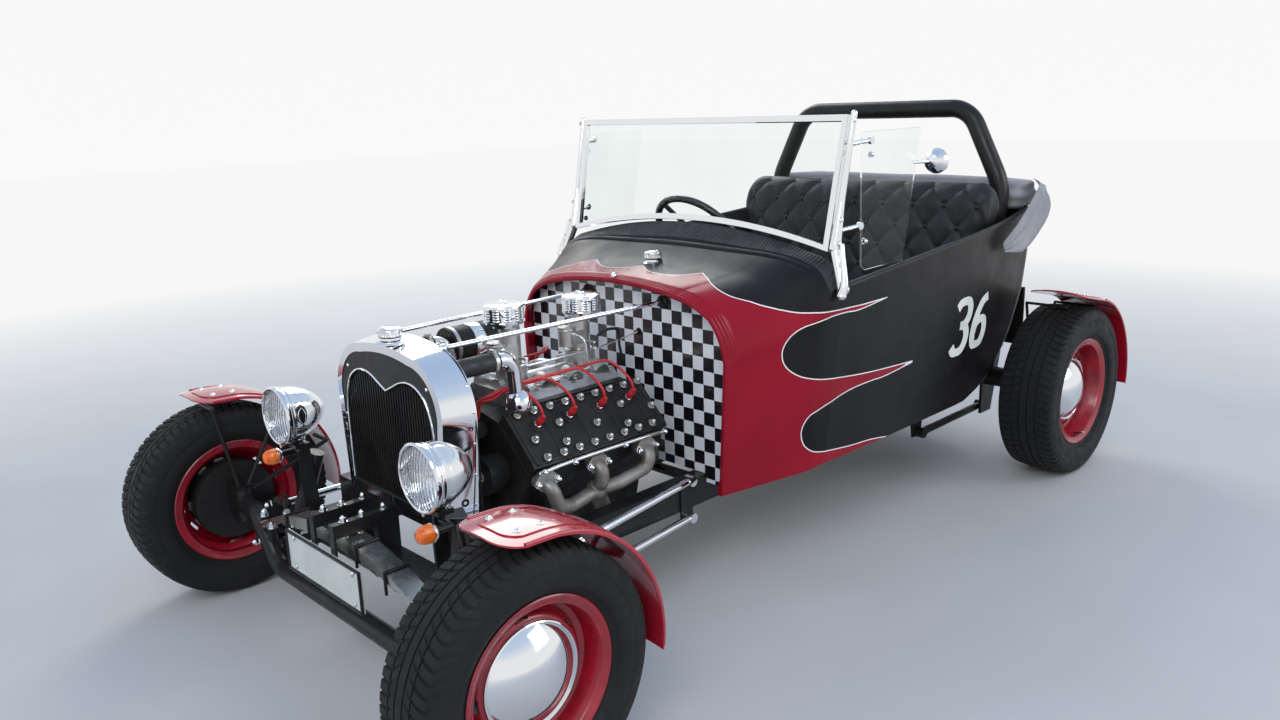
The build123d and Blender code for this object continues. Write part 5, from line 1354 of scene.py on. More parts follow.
def add_head_dressing():
    """Nuts on their seats, plugs in their boots, and the rims and ribs of both heads."""
    for side in SIDES:
        out = head_normal(side)
        dress = Builder(f"head_fixings_{WORD[side]}", "chassis", "steel", "engine", "lead", "chrome")
        places = [(LOW_NUTS[0] + NUT_PITCH * k, LOW_NUTS[1]) for k in range(8)]
        places += [(HIGH_NUTS[0] + NUT_PITCH * k, HIGH_NUTS[1]) for k in range(9)]
        places += MIDDLE_NUTS
        for station, up in places:
            foot = on_head(side, station, up)
            dress.finish("engine").lathe([(-1, 15), (2.5, 14), (4, 12.5), (4, 0)], foot, out, 20)
            dress.finish("steel").nut(foot + out * 0.004, out, 15, 9)
        for k in range(4):
            foot = on_head(side, PLUG_FIRST + PLUG_PITCH * k, PLUG_UP)
            dress.finish("engine").lathe([(-1, 22), (3, 20), (4, 17), (1, 13), (1, 0)], foot, out, 24)
            dress.finish("steel").lathe([(1, 11), (9, 11), (10, 9), (10, 0)], foot, out, 6)
            dress.finish("lead").lathe(PLUG_BOOT, foot, out, 18)
            for ring in (28, 33):
                dress.lathe([(ring, 8), (ring + 1.5, 9), (ring + 3, 8)], foot, out, 18)
        edges = [on_head(side, *corner, 0.5) for corner in HEAD_CORNERS]
        dress.finish("engine").frame(edges, 3.2)
        for station in RIB_STATIONS:
            dress.tube([on_head(side, station, up) for up in RIB_ENDS], 3.0, 8)
        dress.build(angle=30)


CLEANERS = ((533, 873), (812, 858))
DRUM_R = 57.0
# along, radius
DRUM = ((-72, 30), (-72, 34), (-66, 34.5), (-61, 36), (-60.5, 52), (-60, 56), (-57.5, DRUM_R), (-54, DRUM_R),
        (-53, DRUM_R - 3), (-17, DRUM_R - 3), (-16, DRUM_R), (-12, DRUM_R), (-9, DRUM_R - 1.5),
        (-7.5, DRUM_R - 4), (-7, 50), (-5.5, 44), (-4.4, 30), (-4, 14), (-4, 0))
# rise, how far it stands out
LOUVRE = ((5.4, 0), (4.2, 1.4), (2.4, 2.9), (0.8, 3.4), (0.2, 3.2), (0.2, 0.4))
LOUVRE_GROUPS, LOUVRE_ROWS, LOUVRE_FIRST, LOUVRE_PITCH = 11, 5, -49.5, 7.2


def drum_fan(foot, turn, half, steps, profile):
    """Rows of points round a drum: profile(share) gives (rise, radius) at each share of the half turn."""
    rows = []
    for step in range(steps):
        share = 2 * step / (steps - 1) - 1
        angle = turn + share * half
        spoke = Vector((cos(angle), sin(angle), 0))
        rows.append([foot + UP * (rise * MM) + spoke * (radius * MM) for rise, radius in profile(share)])
    return rows


def add_cleaners():
    """Chrome air cleaners with louvred drums and wing nuts."""
    for name, (station, top) in zip(("front", "rear"), CLEANERS):
        unit = Builder(f"air_cleaner_{name}", "chassis", "chrome", "black")
        foot = at(0, station, top)
        unit.finish("chrome").lathe(DRUM, foot, UP, 72)
        for turn in turns(LOUVRE_GROUPS):
            for z in (LOUVRE_FIRST + LOUVRE_PITCH * j for j in range(LOUVRE_ROWS)):
                unit.finish("chrome").grid(drum_fan(foot, turn + 0.1, 0.19, 7, lambda share: [
                    (z + a, DRUM_R - 3.2 + b * (1 - abs(share) ** 4)) for a, b in LOUVRE]))
                # Under each louvre a black strip stands for its opening: painted shade where the inside of
                # the drum falls dark.
                unit.finish("black").grid(drum_fan(foot, turn + 0.1, 0.15, 5, lambda share: [
                    (z - 1.6, DRUM_R - 2.8), (z, DRUM_R - 2.8)]))
        stem = [(-5, 9), (-3.5, 9), (-3, 7.6), (-1.2, 7.4), (-0.4, 5), (0, 0)]
        unit.finish("chrome").lathe(stem, foot, UP, 24)
        for way in (-1, 1):
            wing = [foot + Vector((way * x, 0, z)) * MM
                    for x, z in ((4, -2.5), (9, -1), (13, -1.6), (15, -3))]
            unit.tube(wing, [2.2, 2.4, 2.0, 0.8], 10)
        for angle in (0.6, 2.7, 4.8):
            spoke = Vector((cos(angle), sin(angle), 0)) * (44 * MM)
            unit.screw(foot + spoke + UP * (-6 * MM), UP, 4, 1.8)
        unit.build(angle=32, replaces=("air_cleaners",))


# the carburettors' middles, their bowls' distance ahead, and their shafts' distance behind and height
CARBS = (547, 798)
BOWL_AHEAD = 46
SHAFT, SHAFT_Z = 14, 712
# fuel pipes lie at this x, and the throttle's rods at the other
PIPE_X, LINK_X = 72, 55


def add_carb_details():
    """Fuel pipes, throttle rods, screws and flange nuts round the carburettors."""
    dress = Builder("carb_fittings", "chassis", "chrome", "steel", "alloy", "black")
    first, second = CARBS
    for station in CARBS:
        bowl = station - BOWL_AHEAD
        for x in (-1, 1):
            for y in (-1, 1):
                dress.finish("steel").nut(at(x * 27, station + y * 30, 640), UP, 9, 6, dome=False)
                dress.nut(at(x * 24, station + y * 24, 690.5), UP, 8, 5, dome=False)
        flange = [(0, 40), (0, 41), (6, 41), (7, 39), (7, 30)]
        dress.finish("alloy").lathe(flange, at(0, station, 686), UP, 40)
        for turn in turns(6):
            dress.finish("steel").screw(at(21 * cos(turn), bowl + 21 * sin(turn), 762.5), UP, 3.4, 1.8)
        dress.finish("alloy").lathe([(0, 26.5), (3, 27.4), (5, 26.5)], at(0, bowl, 752), UP, 32)
        ends = [at(x, station + SHAFT, SHAFT_Z) for x in (-56, 56)]
        dress.finish("chrome").rod(*ends, 3.2, 12)
        for side in SIDES:
            dress.slab(at(side * 50, station + 9, 690), at(side * 53, station + 19, 716), 0.6)
            dress.ball(at(side * LINK_X, station + SHAFT, 694), 4.6, 8, 12)
    joints = [at(LINK_X, station + SHAFT, 694) for station in CARBS]
    dress.finish("chrome").rod(*joints, 2.6, 12)
    dress.rod(joints[1], at(60, FIREWALL_AT - 1, 716), 2.6, 12)
    dress.finish("black").lathe([(0, 12), (3, 11), (5, 6), (5, 0)], at(60, FIREWALL_AT, 716), AHEAD, 20)
    for station in CARBS:
        pipe = ((26, -46, 744), (44, -46, 744), (62, -42, 738), (70, -36, 718), (PIPE_X, -34, 676),
                (PIPE_X, -30, 652))
        dress.finish("chrome").tube(swept([(x, station + back, z) for x, back, z in pipe], 6), 3.4, 12)
        dress.nut(at(25, station - BOWL_AHEAD, 744), (1, 0, 0), 12, 8, dome=False, washer=False)
        dress.nut(at(PIPE_X, station - 30, 654), -UP, 12, 8, dome=False, washer=False)
    rail = ((first - 30, 652), (first - 10, 646), (660, 645), (second - 50, 646), (second - 30, 652))
    dress.tube(swept([(PIPE_X, station, z) for station, z in rail], 6), 3.4, 12)
    hook = ((36, 40, 726), (52, 60, 742), (58, 92, 741), (58, 104, 730), (58, 106, 690), (66, 112, 640))
    dress.finish("black").tube(swept([(x, second + back, z) for x, back, z in hook], 6), 4.2, 12)
    dress.build(angle=34)

    intake = Builder("intake_fittings", "chassis", "alloy", "steel")
    for side in SIDES:
        for k in range(6):
            intake.finish("steel").nut(at(side * 98, 496 + 66 * k, 638), UP, 12, 8, dome=False)
        for station in (508, 600, 700, 800):
            line = swept(((side * 30, station + 20, 636), (side * 60, station + 4, 645),
                          (side * 96, station - 2, 634)), 6)
            intake.finish("alloy").tube(line, 24, 20)
    intake.finish("alloy").tube([at(0, 490, 634), at(0, 830, 634)], 27, 24)
    intake.build(angle=40)


def clamp(piece, centre, axis, radius):
    """Worm-drive hose clamp."""
    band = ((-6, 0), (-6, 1.4), (-4.6, 1.8), (4.6, 1.8), (6, 1.4), (6, 0))
    piece.finish("steel").lathe([(along, radius + over) for along, over in band], centre, axis, 40)
    spot = Vector(centre) + UP * ((radius + 4) * MM)
    cross = axis.cross(UP)
    piece.rod(spot - cross * 0.009, spot + cross * 0.009, 4.2, 14)
    piece.rod(spot + cross * 0.009, spot + cross * 0.013, 5.2, 6)


GENERATOR_X, GENERATOR_Z = -205, 723
# station, half width and finish of the generator's bands
BANDS = ((486, 6, "alloy"), (640, 8, "alloy"), (560, 18, "chrome"))
PUMP = (120, 342, 450)


def add_cooling():
    """Hose clamps, outlet flanges and the generator's strap and end caps."""
    dress = Builder("cooling_fittings", "chassis", "steel", "chrome", "black", "engine", "alloy")
    for side in SIDES:
        for station in (380, 250):
            clamp(dress, at(side * 150, station, 756), AFT, 25)
        foot = at(side * 146, 452, 612)
        dress.finish("chrome").lathe([(-2, 32), (6, 32), (8, 30), (8, 22)], foot, UP, 32)
        for x in (-26, 26):
            dress.finish("steel").nut(foot + Vector((x * MM, 0, 0.007)), UP, 12, 8)
        pump = at(side * PUMP[0], *PUMP[1:])
        for turn in turns(8):
            spoke = Vector((cos(turn), 0, sin(turn))) * 0.04
            dress.finish("black").ball(pump + spoke, 5, 6, 10, (1, 0.6, 1))
        dress.finish("steel").nut(pump + AHEAD * (3 * MM), AHEAD, 22, 12)
    for station, half, key in BANDS:
        band = [(-half, 56.2), (-half, 57.4), (-half + 2, 58), (half - 2, 58), (half, 57.4), (half, 56.2)]
        dress.finish(key).lathe(band, at(GENERATOR_X, station, GENERATOR_Z), AFT, 56)
    end = [(0, 30), (2, 50), (8, 55), (14, 56.4)]
    dress.finish("alloy").lathe(end, at(GENERATOR_X, 474, GENERATOR_Z), AFT, 48)
    for turn in turns(6):
        spot = at(GENERATOR_X + 40 * cos(turn), 476, GENERATOR_Z + 40 * sin(turn))
        dress.finish("black").ball(spot, 8, 8, 14, (1, 0.4, 1))
    dress.finish("steel").nut(at(GENERATOR_X, 445, GENERATOR_Z), AHEAD, 20, 12)
    stand = [at(-205, 560, 668), at(-190, 560, 640), at(-150, 560, 618)]
    dress.finish("engine").tube(stand, [14, 12, 14], 16)
    dress.build(angle=34)


PORTS = (430, 606, 786)
PORT_X, PORT_Z = 276, 452
# along, rise
FLANGE = ((-42, 0), (-30, 14), (-20, 24), (20, 24), (30, 14), (42, 0), (30, -14), (20, -24), (-20, -24),
          (-30, -14))
# x, station, z
STRAP = ((281, 404, 478), (284, 500, 484), (284, 640, 484), (284, 800, 482), (281, 868, 476))


def add_headers():
    """Flanges, studs and the bright strap over the exhaust pipes, and the support rods' bosses."""
    dress = Builder("exhaust_fittings", "chassis", "steel", "chrome", "header", "black")
    for side in SIDES:
        out = Vector((side, 0, 0))
        for station in PORTS:
            outline = [at(side * PORT_X, station + a, PORT_Z + b) for a, b in FLANGE]
            dress.finish("header").prism(outline, out * 0.009, 1.5)
            for a in (-32, 32):
                dress.finish("chrome").nut(at(side * (PORT_X + 8), station + a, PORT_Z), out, 13, 9)
        strap = swept([(side * x, station, z) for x, station, z in STRAP], 5)
        dress.finish("steel").tube(strap, 5.5, 12)
        for station in (418, 520, 700, 852):
            dress.finish("chrome").nut(at(side * 288, station, 482), out, 11, 7)
        boss = at(side * 164, FIREWALL_AT, 819)
        rings = [(0, 20), (4, 20), (7, 15), (16, 11), (20, 10), (20, 6)]
        dress.finish("black").lathe(rings, boss, AHEAD, 28)
        for angle in (0.8, 2.9, 5.0):
            spot = boss + Vector((15 * cos(angle), -4, 15 * sin(angle))) * MM
            dress.finish("steel").screw(spot, AHEAD, 3.2, 2)
        fork = [(-8, 8), (-6, 11), (6, 11), (10, 8), (22, 6.6)]
        dress.finish("chrome").lathe(fork, at(side * 132, 246, 814), (side * 0.043, 1, 0), 20)
    dress.build(angle=34)


add_leads()
add_head_dressing()
add_cleaners()
add_carb_details()
add_cooling()
add_headers()


# Front end

class Surface:
    """A CAD node's surface, asked where a line from outside meets it."""

    def __init__(self, *names):
        verts, faces = [], []
        for name in names:
            mesh = NODES[name].data
            start = len(verts)
            verts += [v.co.copy() for v in mesh.vertices]
            faces += [[start + k for k in face.vertices] for face in mesh.polygons]
        self.tree = BVHTree.FromPolygons(verts, faces)

    def meet(self, start, ahead):
        """Point and outward direction where the ray first meets the surface, or the start itself."""
        ahead = Vector(ahead).normalized()
        spot, normal, _, _ = self.tree.ray_cast(Vector(start), ahead)
        if spot is None:
            return Vector(start), -ahead
        return spot, (normal if normal.dot(ahead) < 0 else -normal)


LAMP_X, LAMP_FRONT, LAMP_Z, LAMP_R = 352, 15, 596, 82
AMBER_X, AMBER_Z, AMBER_BACK = 384, 477, 36
# along, radius
LAMP_SHELL = ((7, 72), (1, 73.5), (-0.5, 76), (0, 79), (3, 81.6), (7, LAMP_R), (12, LAMP_R), (15.5, 80.5),
              (17, 78.4), (18, 77.8), (22, 77.6), (24, 78.6), (26, 78.6), (28, 77.4), (45, 75.2), (68, 69.5),
              (90, 60), (110, 46.5), (126, 30), (135, 16), (139, 8), (140, 0))
LAMP_DISH = ((7, 72), (14, 71), (28, 65), (42, 53), (51, 38), (56, 20), (57, 0))
LAMP_LENS = ((8, 72.4), (4, 66), (0, 48), (-2.6, 26), (-3.6, 0.01), (-0.6, 0.01), (0.4, 26), (3, 48),
             (7, 65), (10, 72.4), (8, 72.4))
AMBER_STUB = ((0, 8), (-2, 13), (-8, 19), (-12, 22), (-16, 22.4), (-17, 20), (-17, 0))
AMBER_RIBS = 8


def add_headlights():
    """Chrome bullet lamps with a dish and a fluted lens, and ribbed ambers on stubs."""
    for side in SIDES:
        centre = at(side * LAMP_X, LAMP_FRONT, LAMP_Z)
        lamp = Builder(f"headlight_{WORD[side]}", "chassis", "chrome", "black", "steel")
        lamp.finish("chrome").lathe(LAMP_SHELL, centre, AFT, 72)
        lamp.lathe(LAMP_DISH, centre, AFT, 64)
        lamp.finish("steel").lathe([(57, 9), (34, 9), (31, 7), (30, 0)], centre, AFT, 24)
        foot = centre + Vector((0, 0.06, -0.072))
        lamp.finish("chrome").lathe([(-12, 13), (-4, 17), (4, 17), (8, 14), (12, 12)], foot, UP, 28)
        lamp.nut(foot - UP * 0.014, -UP, 20, 10)
        screw = centre + Vector((0, 0.008, -LAMP_R * MM))
        lamp.rod(screw, screw - UP * 0.007, 3.4, 12)
        stub = at(side * AMBER_X, AMBER_BACK, AMBER_Z)
        lamp.lathe(AMBER_STUB, stub, AFT, 40)
        lamp.build(angle=32, replaces=("headlights",))

        lens = Builder(f"lenses_{WORD[side]}", "chassis", "lens", "amber")
        lens.finish("lens").lathe(LAMP_LENS, centre, AFT, 72)
        shell = [(-16, 20.5)]
        for k in range(AMBER_RIBS):
            along = -18 - 4.2 * k
            radius = 21.2 * sqrt(max(0.08, 1 - (k / 8.6) ** 3))
            shell += [(along, radius), (along - 1.4, radius + 0.9), (along - 2.8, radius)]
        lens.finish("amber").lathe(shell + [(-53, 7), (-54, 0)], stub, AFT, 40)
        lens.build(angle=50, replaces=("lamp_lenses",))


# the bead round the grille and the shell's rear edge, as (x, z)
ARCH = ((208, 424), (208, 560), (205, 640), (184, 700), (152, 729), (112, 740), (70, 734), (30, 716),
        (0, 702))
SHELL_EDGE = ((270.5, 400), (270.5, 560), (270, 636), (255, 720), (216, 784), (150, 818))
CAP_STATION, CAP_Z = 183, 825
FINS, FIN_PITCH = 17, 12


def add_radiator():
    """Bead round the grille, the shell's rolled rear edge, caps, and small holes and screws."""
    trim = Builder("radiator_trim", "chassis", "chrome", "black", "steel", "alloy")
    half = swept([(x, 156.5, z) for x, z in ARCH], 8)
    whole = half + [Vector((-p.x, p.y, p.z)) for p in reversed(half[:-1])]
    trim.finish("chrome").tube(whole, 3.4, 10)
    shell = Surface("radiator_shell")
    for side in SIDES:
        inward = (-side, 0, 0)
        for station, z, radius in ((205, 452, 9), (224, 640, 5)):
            # Each small hole is a black cup on the shell: its dark inside is painted shade.
            spot, out = shell.meet(at(side * 400, station, z), inward)
            hole = ((-0.6, 0), (0.5, 0.9), (0.9, 1), (0.5, 1.15), (-0.5, 1.2))
            trim.finish("black").lathe([(along, radius * share) for along, share in hole], spot, out, 24)
        for z in (440, 520, 600, 680, 742):
            trim.finish("chrome").screw(*shell.meet(at(side * 400, 233, z), inward), 4.2, 1.8)
        for x, z in ((218, 440), (218, 600), (188, 738)):
            trim.finish("chrome").screw(at(side * x, 157, z), AHEAD, 5, 2.2)
        line = swept([(side * x, 236, z) for x, z in SHELL_EDGE], 8)
        trim.finish("black").tube(line, 1.6, 8)
    trim.build(angle=36)

    caps = Builder("filler_tops", "chassis", "chrome", "black")
    filler_top(caps, at(0, CAP_STATION, CAP_Z), 31, 40)
    filler_top(caps, at(0, 1112, 903), 26, 42)
    seat = [(-3, 42), (0, 42), (3, 38), (5, 30)]
    caps.finish("chrome").lathe(seat, at(0, CAP_STATION, CAP_Z), UP, 40)
    caps.build(angle=32, replaces=("filler_caps",))

    core = Builder("core_fins", "chassis", "alloy", "black")
    for x in range(-FINS * FIN_PITCH, FINS * FIN_PITCH + 1, FIN_PITCH):
        lobe = abs(x) / 112
        top = 700 + 36 * sin(lobe * pi / 2) if lobe < 1 else 738 - (abs(x) - 112) * 0.55
        core.finish("black").slab(at(x - 1.6, 158.5, 428), at(x + 1.6, 163.5, top - 4), 0.3)
    core.build(angle=20)


PLATE_AT, PLATE_LOW, PLATE_HIGH, PLATE_HALF = -62, 239, 344, 185


def add_plate():
    """Blank number plate in a dark frame on two black channel arms, with chrome screws."""
    plate = Builder("plate_frame", "chassis", "black", "chrome", "rubber")
    corners = rectangle(PLATE_AT, (-PLATE_HALF, PLATE_LOW), (PLATE_HALF, PLATE_HIGH))
    plate.finish("black").frame(corners, 4.2, 10)
    for corner in corners:
        plate.ball(corner, 4.4, 8, 10)
    for x in (-150, 150):
        plate.finish("chrome").screw(at(x, PLATE_AT - 0.5, 331), AHEAD, 8, 3)
        plate.screw(at(x, PLATE_AT - 0.5, 252), AHEAD, 6, 2.4)
    for side in SIDES:
        for station in (-20, 30, 90):
            plate.finish("chrome").nut(at(side * 51, station, 420.5), UP, 15, 9)
    plate.build(angle=34)


SPRINGS_AT = (0, 2636)


def add_spring_details():
    """U-bolts, shackle bolts and clips on both springs, and the axle's bright fittings."""
    dress = Builder("spring_fittings", "chassis", "steel", "chrome", "black")
    springs = Surface("leaf_springs")
    axle = Surface("front_axle")
    for station in SPRINGS_AT:
        for x in (-250, -120, 120, 250):
            start = at(x, station, 700)
            spot, _ = springs.meet(start, -UP)
            if (spot - start).length < 1e-6:
                continue
            line = [spot + Vector((0, a, b)) * MM for a, b in ((-31, -52), (-31, 3), (31, 3), (31, -52))]
            for a, b in zip(line, line[1:]):
                dress.finish("black").tube([a, b], 4, 10)
            dress.ball(line[1], 4, 8, 10).ball(line[2], 4, 8, 10)
        for x in (-52, 52):
            for aft in (20, -20):
                spot, _ = springs.meet(at(x, station + aft, 700), -UP)
                dress.finish("steel").nut(spot, UP, 17, 11)
    for side in SIDES:
        for x in (425, 470):
            dress.finish("chrome").nut(axle.meet(at(side * x, 0, 700), -UP)[0], UP, 20, 12)
        for z in (215, 312):
            dress.nut(axle.meet(at(side * 470, -90, z), AFT)[0], AHEAD, 18, 10)
        for z in (215, 275):
            dress.nut(at(side * 462, 60, z), (side, 0, 0), 16, 10)
    dress.build(angle=34)


# middle of the front fenders and half the width between their wires, then the rear ones' two edges
FENDER_X, FENDER_HALF = 715, 95
REAR_FENDER = (598, 801)
EDGE_IN = 4
WIRE = 4.4


def fender_arc(top, centre, angles, start):
    """Places on a fender along an arc over the wheel, met from outside."""
    spots = []
    for angle in angles:
        spoke = Vector((0, cos(radians(angle)), sin(radians(angle))))
        spots.append(top.meet(centre + spoke * start, -spoke)[0])
    return spots


def add_fenders():
    """Wired edges, bolts and stays' washers on the four fenders."""
    for side in SIDES:
        front = Builder(f"fender_trim_{WORD[side]}", f"steer_{WORD[side]}", "red", "chrome", "steel")
        top = Surface(f"front_fender_{WORD[side]}")
        for x in (FENDER_X - FENDER_HALF + EDGE_IN, FENDER_X + FENDER_HALF - EDGE_IN):
            edge = fender_arc(top, Vector((side * x * MM, AXLE_Y, FRONT_Z)), range(-7, 89, 5), 0.5)
            for station in (-15, -40, -62):
                spot, _ = top.meet(at(side * x, station, 800), -UP)
                if spot.z < 0.79:
                    edge.append(spot)
            front.finish("red").tube(edge, WIRE, 10)
        for x, station in ((672, -22), (672, 34), (758, -22), (758, 34)):
            spot, out = top.meet(at(side * x, station, 800), -UP)
            front.finish("chrome").lathe([(0, 9), (1.6, 8.6), (1.8, 0)], spot, out, 20)
            front.screw(spot + out * 0.0015, out, 6.5, 3.4)
        front.build(angle=40)
    rear = Builder("rear_fender_trim", "chassis", "red", "chrome")
    top = Surface("rear_fenders")
    for side in SIDES:
        for x in (REAR_FENDER[0] + EDGE_IN, REAR_FENDER[1] - EDGE_IN):
            edge = fender_arc(top, Vector((side * x * MM, REAR_Y, REAR_Z)), range(-4, 79, 5), 0.6)
            for forward in (-100, -150, -200, -240):
                spot, _ = top.meet(Vector((side * x * MM, REAR_Y + forward * MM, 0.9)), -UP)
                if abs(spot.z - edge[-1].z) < 0.03:
                    edge.append(spot)
            rear.finish("red").tube(edge, WIRE, 10)
        for x, forward in ((650, -60), (650, 20), (750, -60), (750, 20)):
            spot, out = top.meet(Vector((side * x * MM, REAR_Y + forward * MM, 0.9)), -UP)
            rear.finish("chrome").screw(spot, out, 6.5, 3.2)
    rear.build(angle=40)


# places of the posts' bolts as (station, z), and the line of a post's foot as (x, station, z)
POST_BOLTS = ((1262, 862), (1254, 880), (1262, 930), (1276, 985), (1288, 1050), (1340, 1320))
POST_FOOT = ((606, 1244, 846), (610, 1250, 872), (604, 1258, 905), (592, 1268, 945), (584, 1276, 985))
FOOT_RADII = (15, 14.6, 14, 13.5, 13, 12.6, 12.2, 11.8, 11.4, 11, 10.6, 10.3, 10, 9.8, 9.6, 9.3, 9, 8.7, 8.4,
              8, 7.8, 7.4, 7, 6.6, 6)


def add_screen_details():
    """Feet, bolts and clips of the windscreen posts."""
    dress = Builder("screen_fittings", "chassis", "chrome", "steel", "black")
    posts = Surface("windscreen_frame")
    for side in SIDES:
        out = Vector((side, 0, 0))
        for station, z in POST_BOLTS:
            spot, _ = posts.meet(at(side * 760, station, z), -out)
            if abs(spot.x) < 0.7:
                dress.finish("chrome").lathe([(0, 9), (1.4, 8.6), (1.6, 0)], spot, out, 20)
                dress.screw(spot + out * 0.0014, out, 6, 3)
        line = swept([(side * x, station, z) for x, station, z in POST_FOOT], 6)
        dress.finish("chrome").tube(line, FOOT_RADII[:len(line)], 16)
        dress.ball(line[0], 15.5, 10, 18, (1, 1, 0.8))
        for station, z in ((1364, 985), (1388, 1225)):
            dress.nut(at(side * 594, station, z), out, 13, 8)
    dress.build(angle=34)


def add_tail():
    """Bezels and ringed lenses of the tail lamps."""
    dress = Builder("tail_fittings", "chassis", "chrome", "ruby", "steel")
    bezel = [(-2, 42), (0, 43.4), (22, 43.6), (27, 43), (30, 40.6), (31, 37.6), (29, 36.4)]
    for side in SIDES:
        centre = at(side * 262, 2704, 512)
        dress.finish("chrome").lathe(bezel, centre, AFT, 48)
        for radius in (33, 26.5, 20, 13.5, 7):
            ring = [(34.6, radius), (36.4, radius - 1.2), (36.8, radius - 2), (34.6, radius - 3)]
            dress.finish("ruby").lathe(ring, centre, AFT, 40)
        dress.finish("steel").screw(centre + AFT * 0.0362, AFT, 3, 1.4)
    dress.build(angle=36)


add_headlights()
add_radiator()
add_plate()
add_spring_details()
add_fenders()
add_screen_details()
add_tail()


# Cockpit and soft goods

def closed_mesh(name, rows):
    """Mesh of a closed form from its ring-shaped sections, with its two ends filled."""
    width = len(rows[0])
    verts = [tuple(point) for row in rows for point in row]
    faces = []
    for i in range(len(rows) - 1):
        for j in range(width):
            faces.append((i * width + j, i * width + (j + 1) % width, (i + 1) * width + (j + 1) % width,
                          (i + 1) * width + j))
    faces.append(tuple(range(width - 1, -1, -1)))
    faces.append(tuple((len(rows) - 1) * width + j for j in range(width)))
    mesh = bpy.data.meshes.new(name)
    mesh.from_pydata(verts, [], faces)
    work = bmesh.new()
    work.from_mesh(mesh)
    bmesh.ops.recalc_face_normals(work, faces=work.faces)
    work.to_mesh(mesh)
    work.free()
    return mesh


def evaluated(piece):
    graph = bpy.context.evaluated_depsgraph_get()
    return bpy.data.meshes.new_from_object(piece.evaluated_get(graph))


def modified(piece, kind, **settings):
    """Applies one modifier to the piece's mesh."""
    modifier = piece.modifiers.new(kind.lower(), kind)
    for key, value in settings.items():
        setattr(modifier, key, value)
    mesh = evaluated(piece)
    piece.modifiers.clear()
    piece.data = mesh


PRESSURE, CLOTH_FRAMES = 4, 20


def swollen(piece, most):
    """Blows the closed mesh up by cloth simulation, no point going further than the cap in millimetres."""
    start = [v.co.copy() for v in piece.data.vertices]
    settings = piece.modifiers.new("cloth", "CLOTH").settings
    settings.use_pressure = True
    settings.uniform_pressure_force = PRESSURE
    settings.effector_weights.gravity = 0
    settings.mass = 0.3
    settings.quality = 5
    scene = bpy.context.scene
    for frame_number in range(1, CLOTH_FRAMES + 1):
        scene.frame_set(frame_number)
    mesh = evaluated(piece)
    piece.modifiers.clear()
    for vertex, before in zip(mesh.vertices, start):
        shift = vertex.co - before
        if shift.length > most * MM:
            vertex.co = before + shift.normalized() * (most * MM)
    piece.data = mesh
    scene.frame_set(1)


def soft_piece(name, rows, voxel, most, key):
    """A pad: its form remeshed evenly, swollen and subdivided."""
    piece = bpy.data.objects.new(name, closed_mesh(name, rows))
    show(piece)
    modified(piece, "REMESH", mode="VOXEL", voxel_size=voxel * MM)
    swollen(piece, most)
    modified(piece, "SUBSURF", levels=1, render_levels=1)
    piece.data.materials.clear()
    piece.data.materials.append(M[key])
    return piece


def displaced(piece, amount):
    """Moves each point along its normal by amount(point, normal), in millimetres."""
    mesh = piece.data
    normals = [v.normal.copy() for v in mesh.vertices]
    for vertex, normal in zip(mesh.vertices, normals):
        vertex.co += normal * (amount(vertex.co, normal) * MM)
    mesh.shade_smooth()


TUFT_WIDE, TUFT_HIGH, TUFT_DEPTH = 124, 150, 17
BUTTON_R = 9
# no point of a pad swells further than this, in millimetres
FILL_MOST = 8


def tuft(u, v):
    """How far the cover is drawn in at a place of the diamonds, from 0 on a pillow to 1 at a button."""
    first = abs(sin(pi * (u / TUFT_WIDE + v / TUFT_HIGH)))
    second = abs(sin(pi * (u / TUFT_WIDE - v / TUFT_HIGH)))
    crease = 1 - min(first, second) ** 0.55
    dimple = (1 - first) * (1 - second)
    return 0.55 * crease + 0.45 * dimple ** 2


PAD_SECTIONS = 40


def pad_rows(corners, half, end, widen=lambda z: 1.0):
    """Rounded sections of a pad lying across the car, drawn in at both ends."""
    section = [(p.x, p.y) for p in curve_through([(a, b, 0) for a, b in corners], 8, closed=True)]
    middle_s = sum(s for s, _ in section) / len(section)
    middle_z = sum(z for _, z in section) / len(section)
    rows = []
    for k in range(PAD_SECTIONS + 1):
        x = half * sin(pi / 2 * (2 * k / PAD_SECTIONS - 1))
        inner = max(0.0, (abs(x) - (half - end)) / end)
        share = 1 - 0.32 * (1 - sqrt(max(0.0, 1 - inner * inner)))
        rows.append([at(x * widen(z), middle_s + (s - middle_s) * share, middle_z + (z - middle_z) * share)
                     for s, z in section])
    return rows


BACK_SECTION = ((2092, 436), (2098, 560), (2128, 700), (2166, 850), (2196, 965), (2212, 1030), (2238, 1076),
                (2272, 1088), (2306, 1072), (2318, 1036), (2296, 984), (2262, 880), (2222, 740), (2180, 560),
                (2164, 436))
BASE_SECTION = ((1708, 470), (1704, 530), (1714, 572), (1742, 584), (1850, 584), (1980, 574), (2070, 566),
                (2088, 550), (2084, 480), (2060, 458), (1880, 456), (1740, 456))


def surface_tree(piece):
    return BVHTree.FromPolygons([v.co.copy() for v in piece.data.vertices],
                                [tuple(face.vertices) for face in piece.data.polygons])


# middle of a row of buttons: height on the back, station on the cushion
BACK_ROW, BASE_ROW = 700, 1760


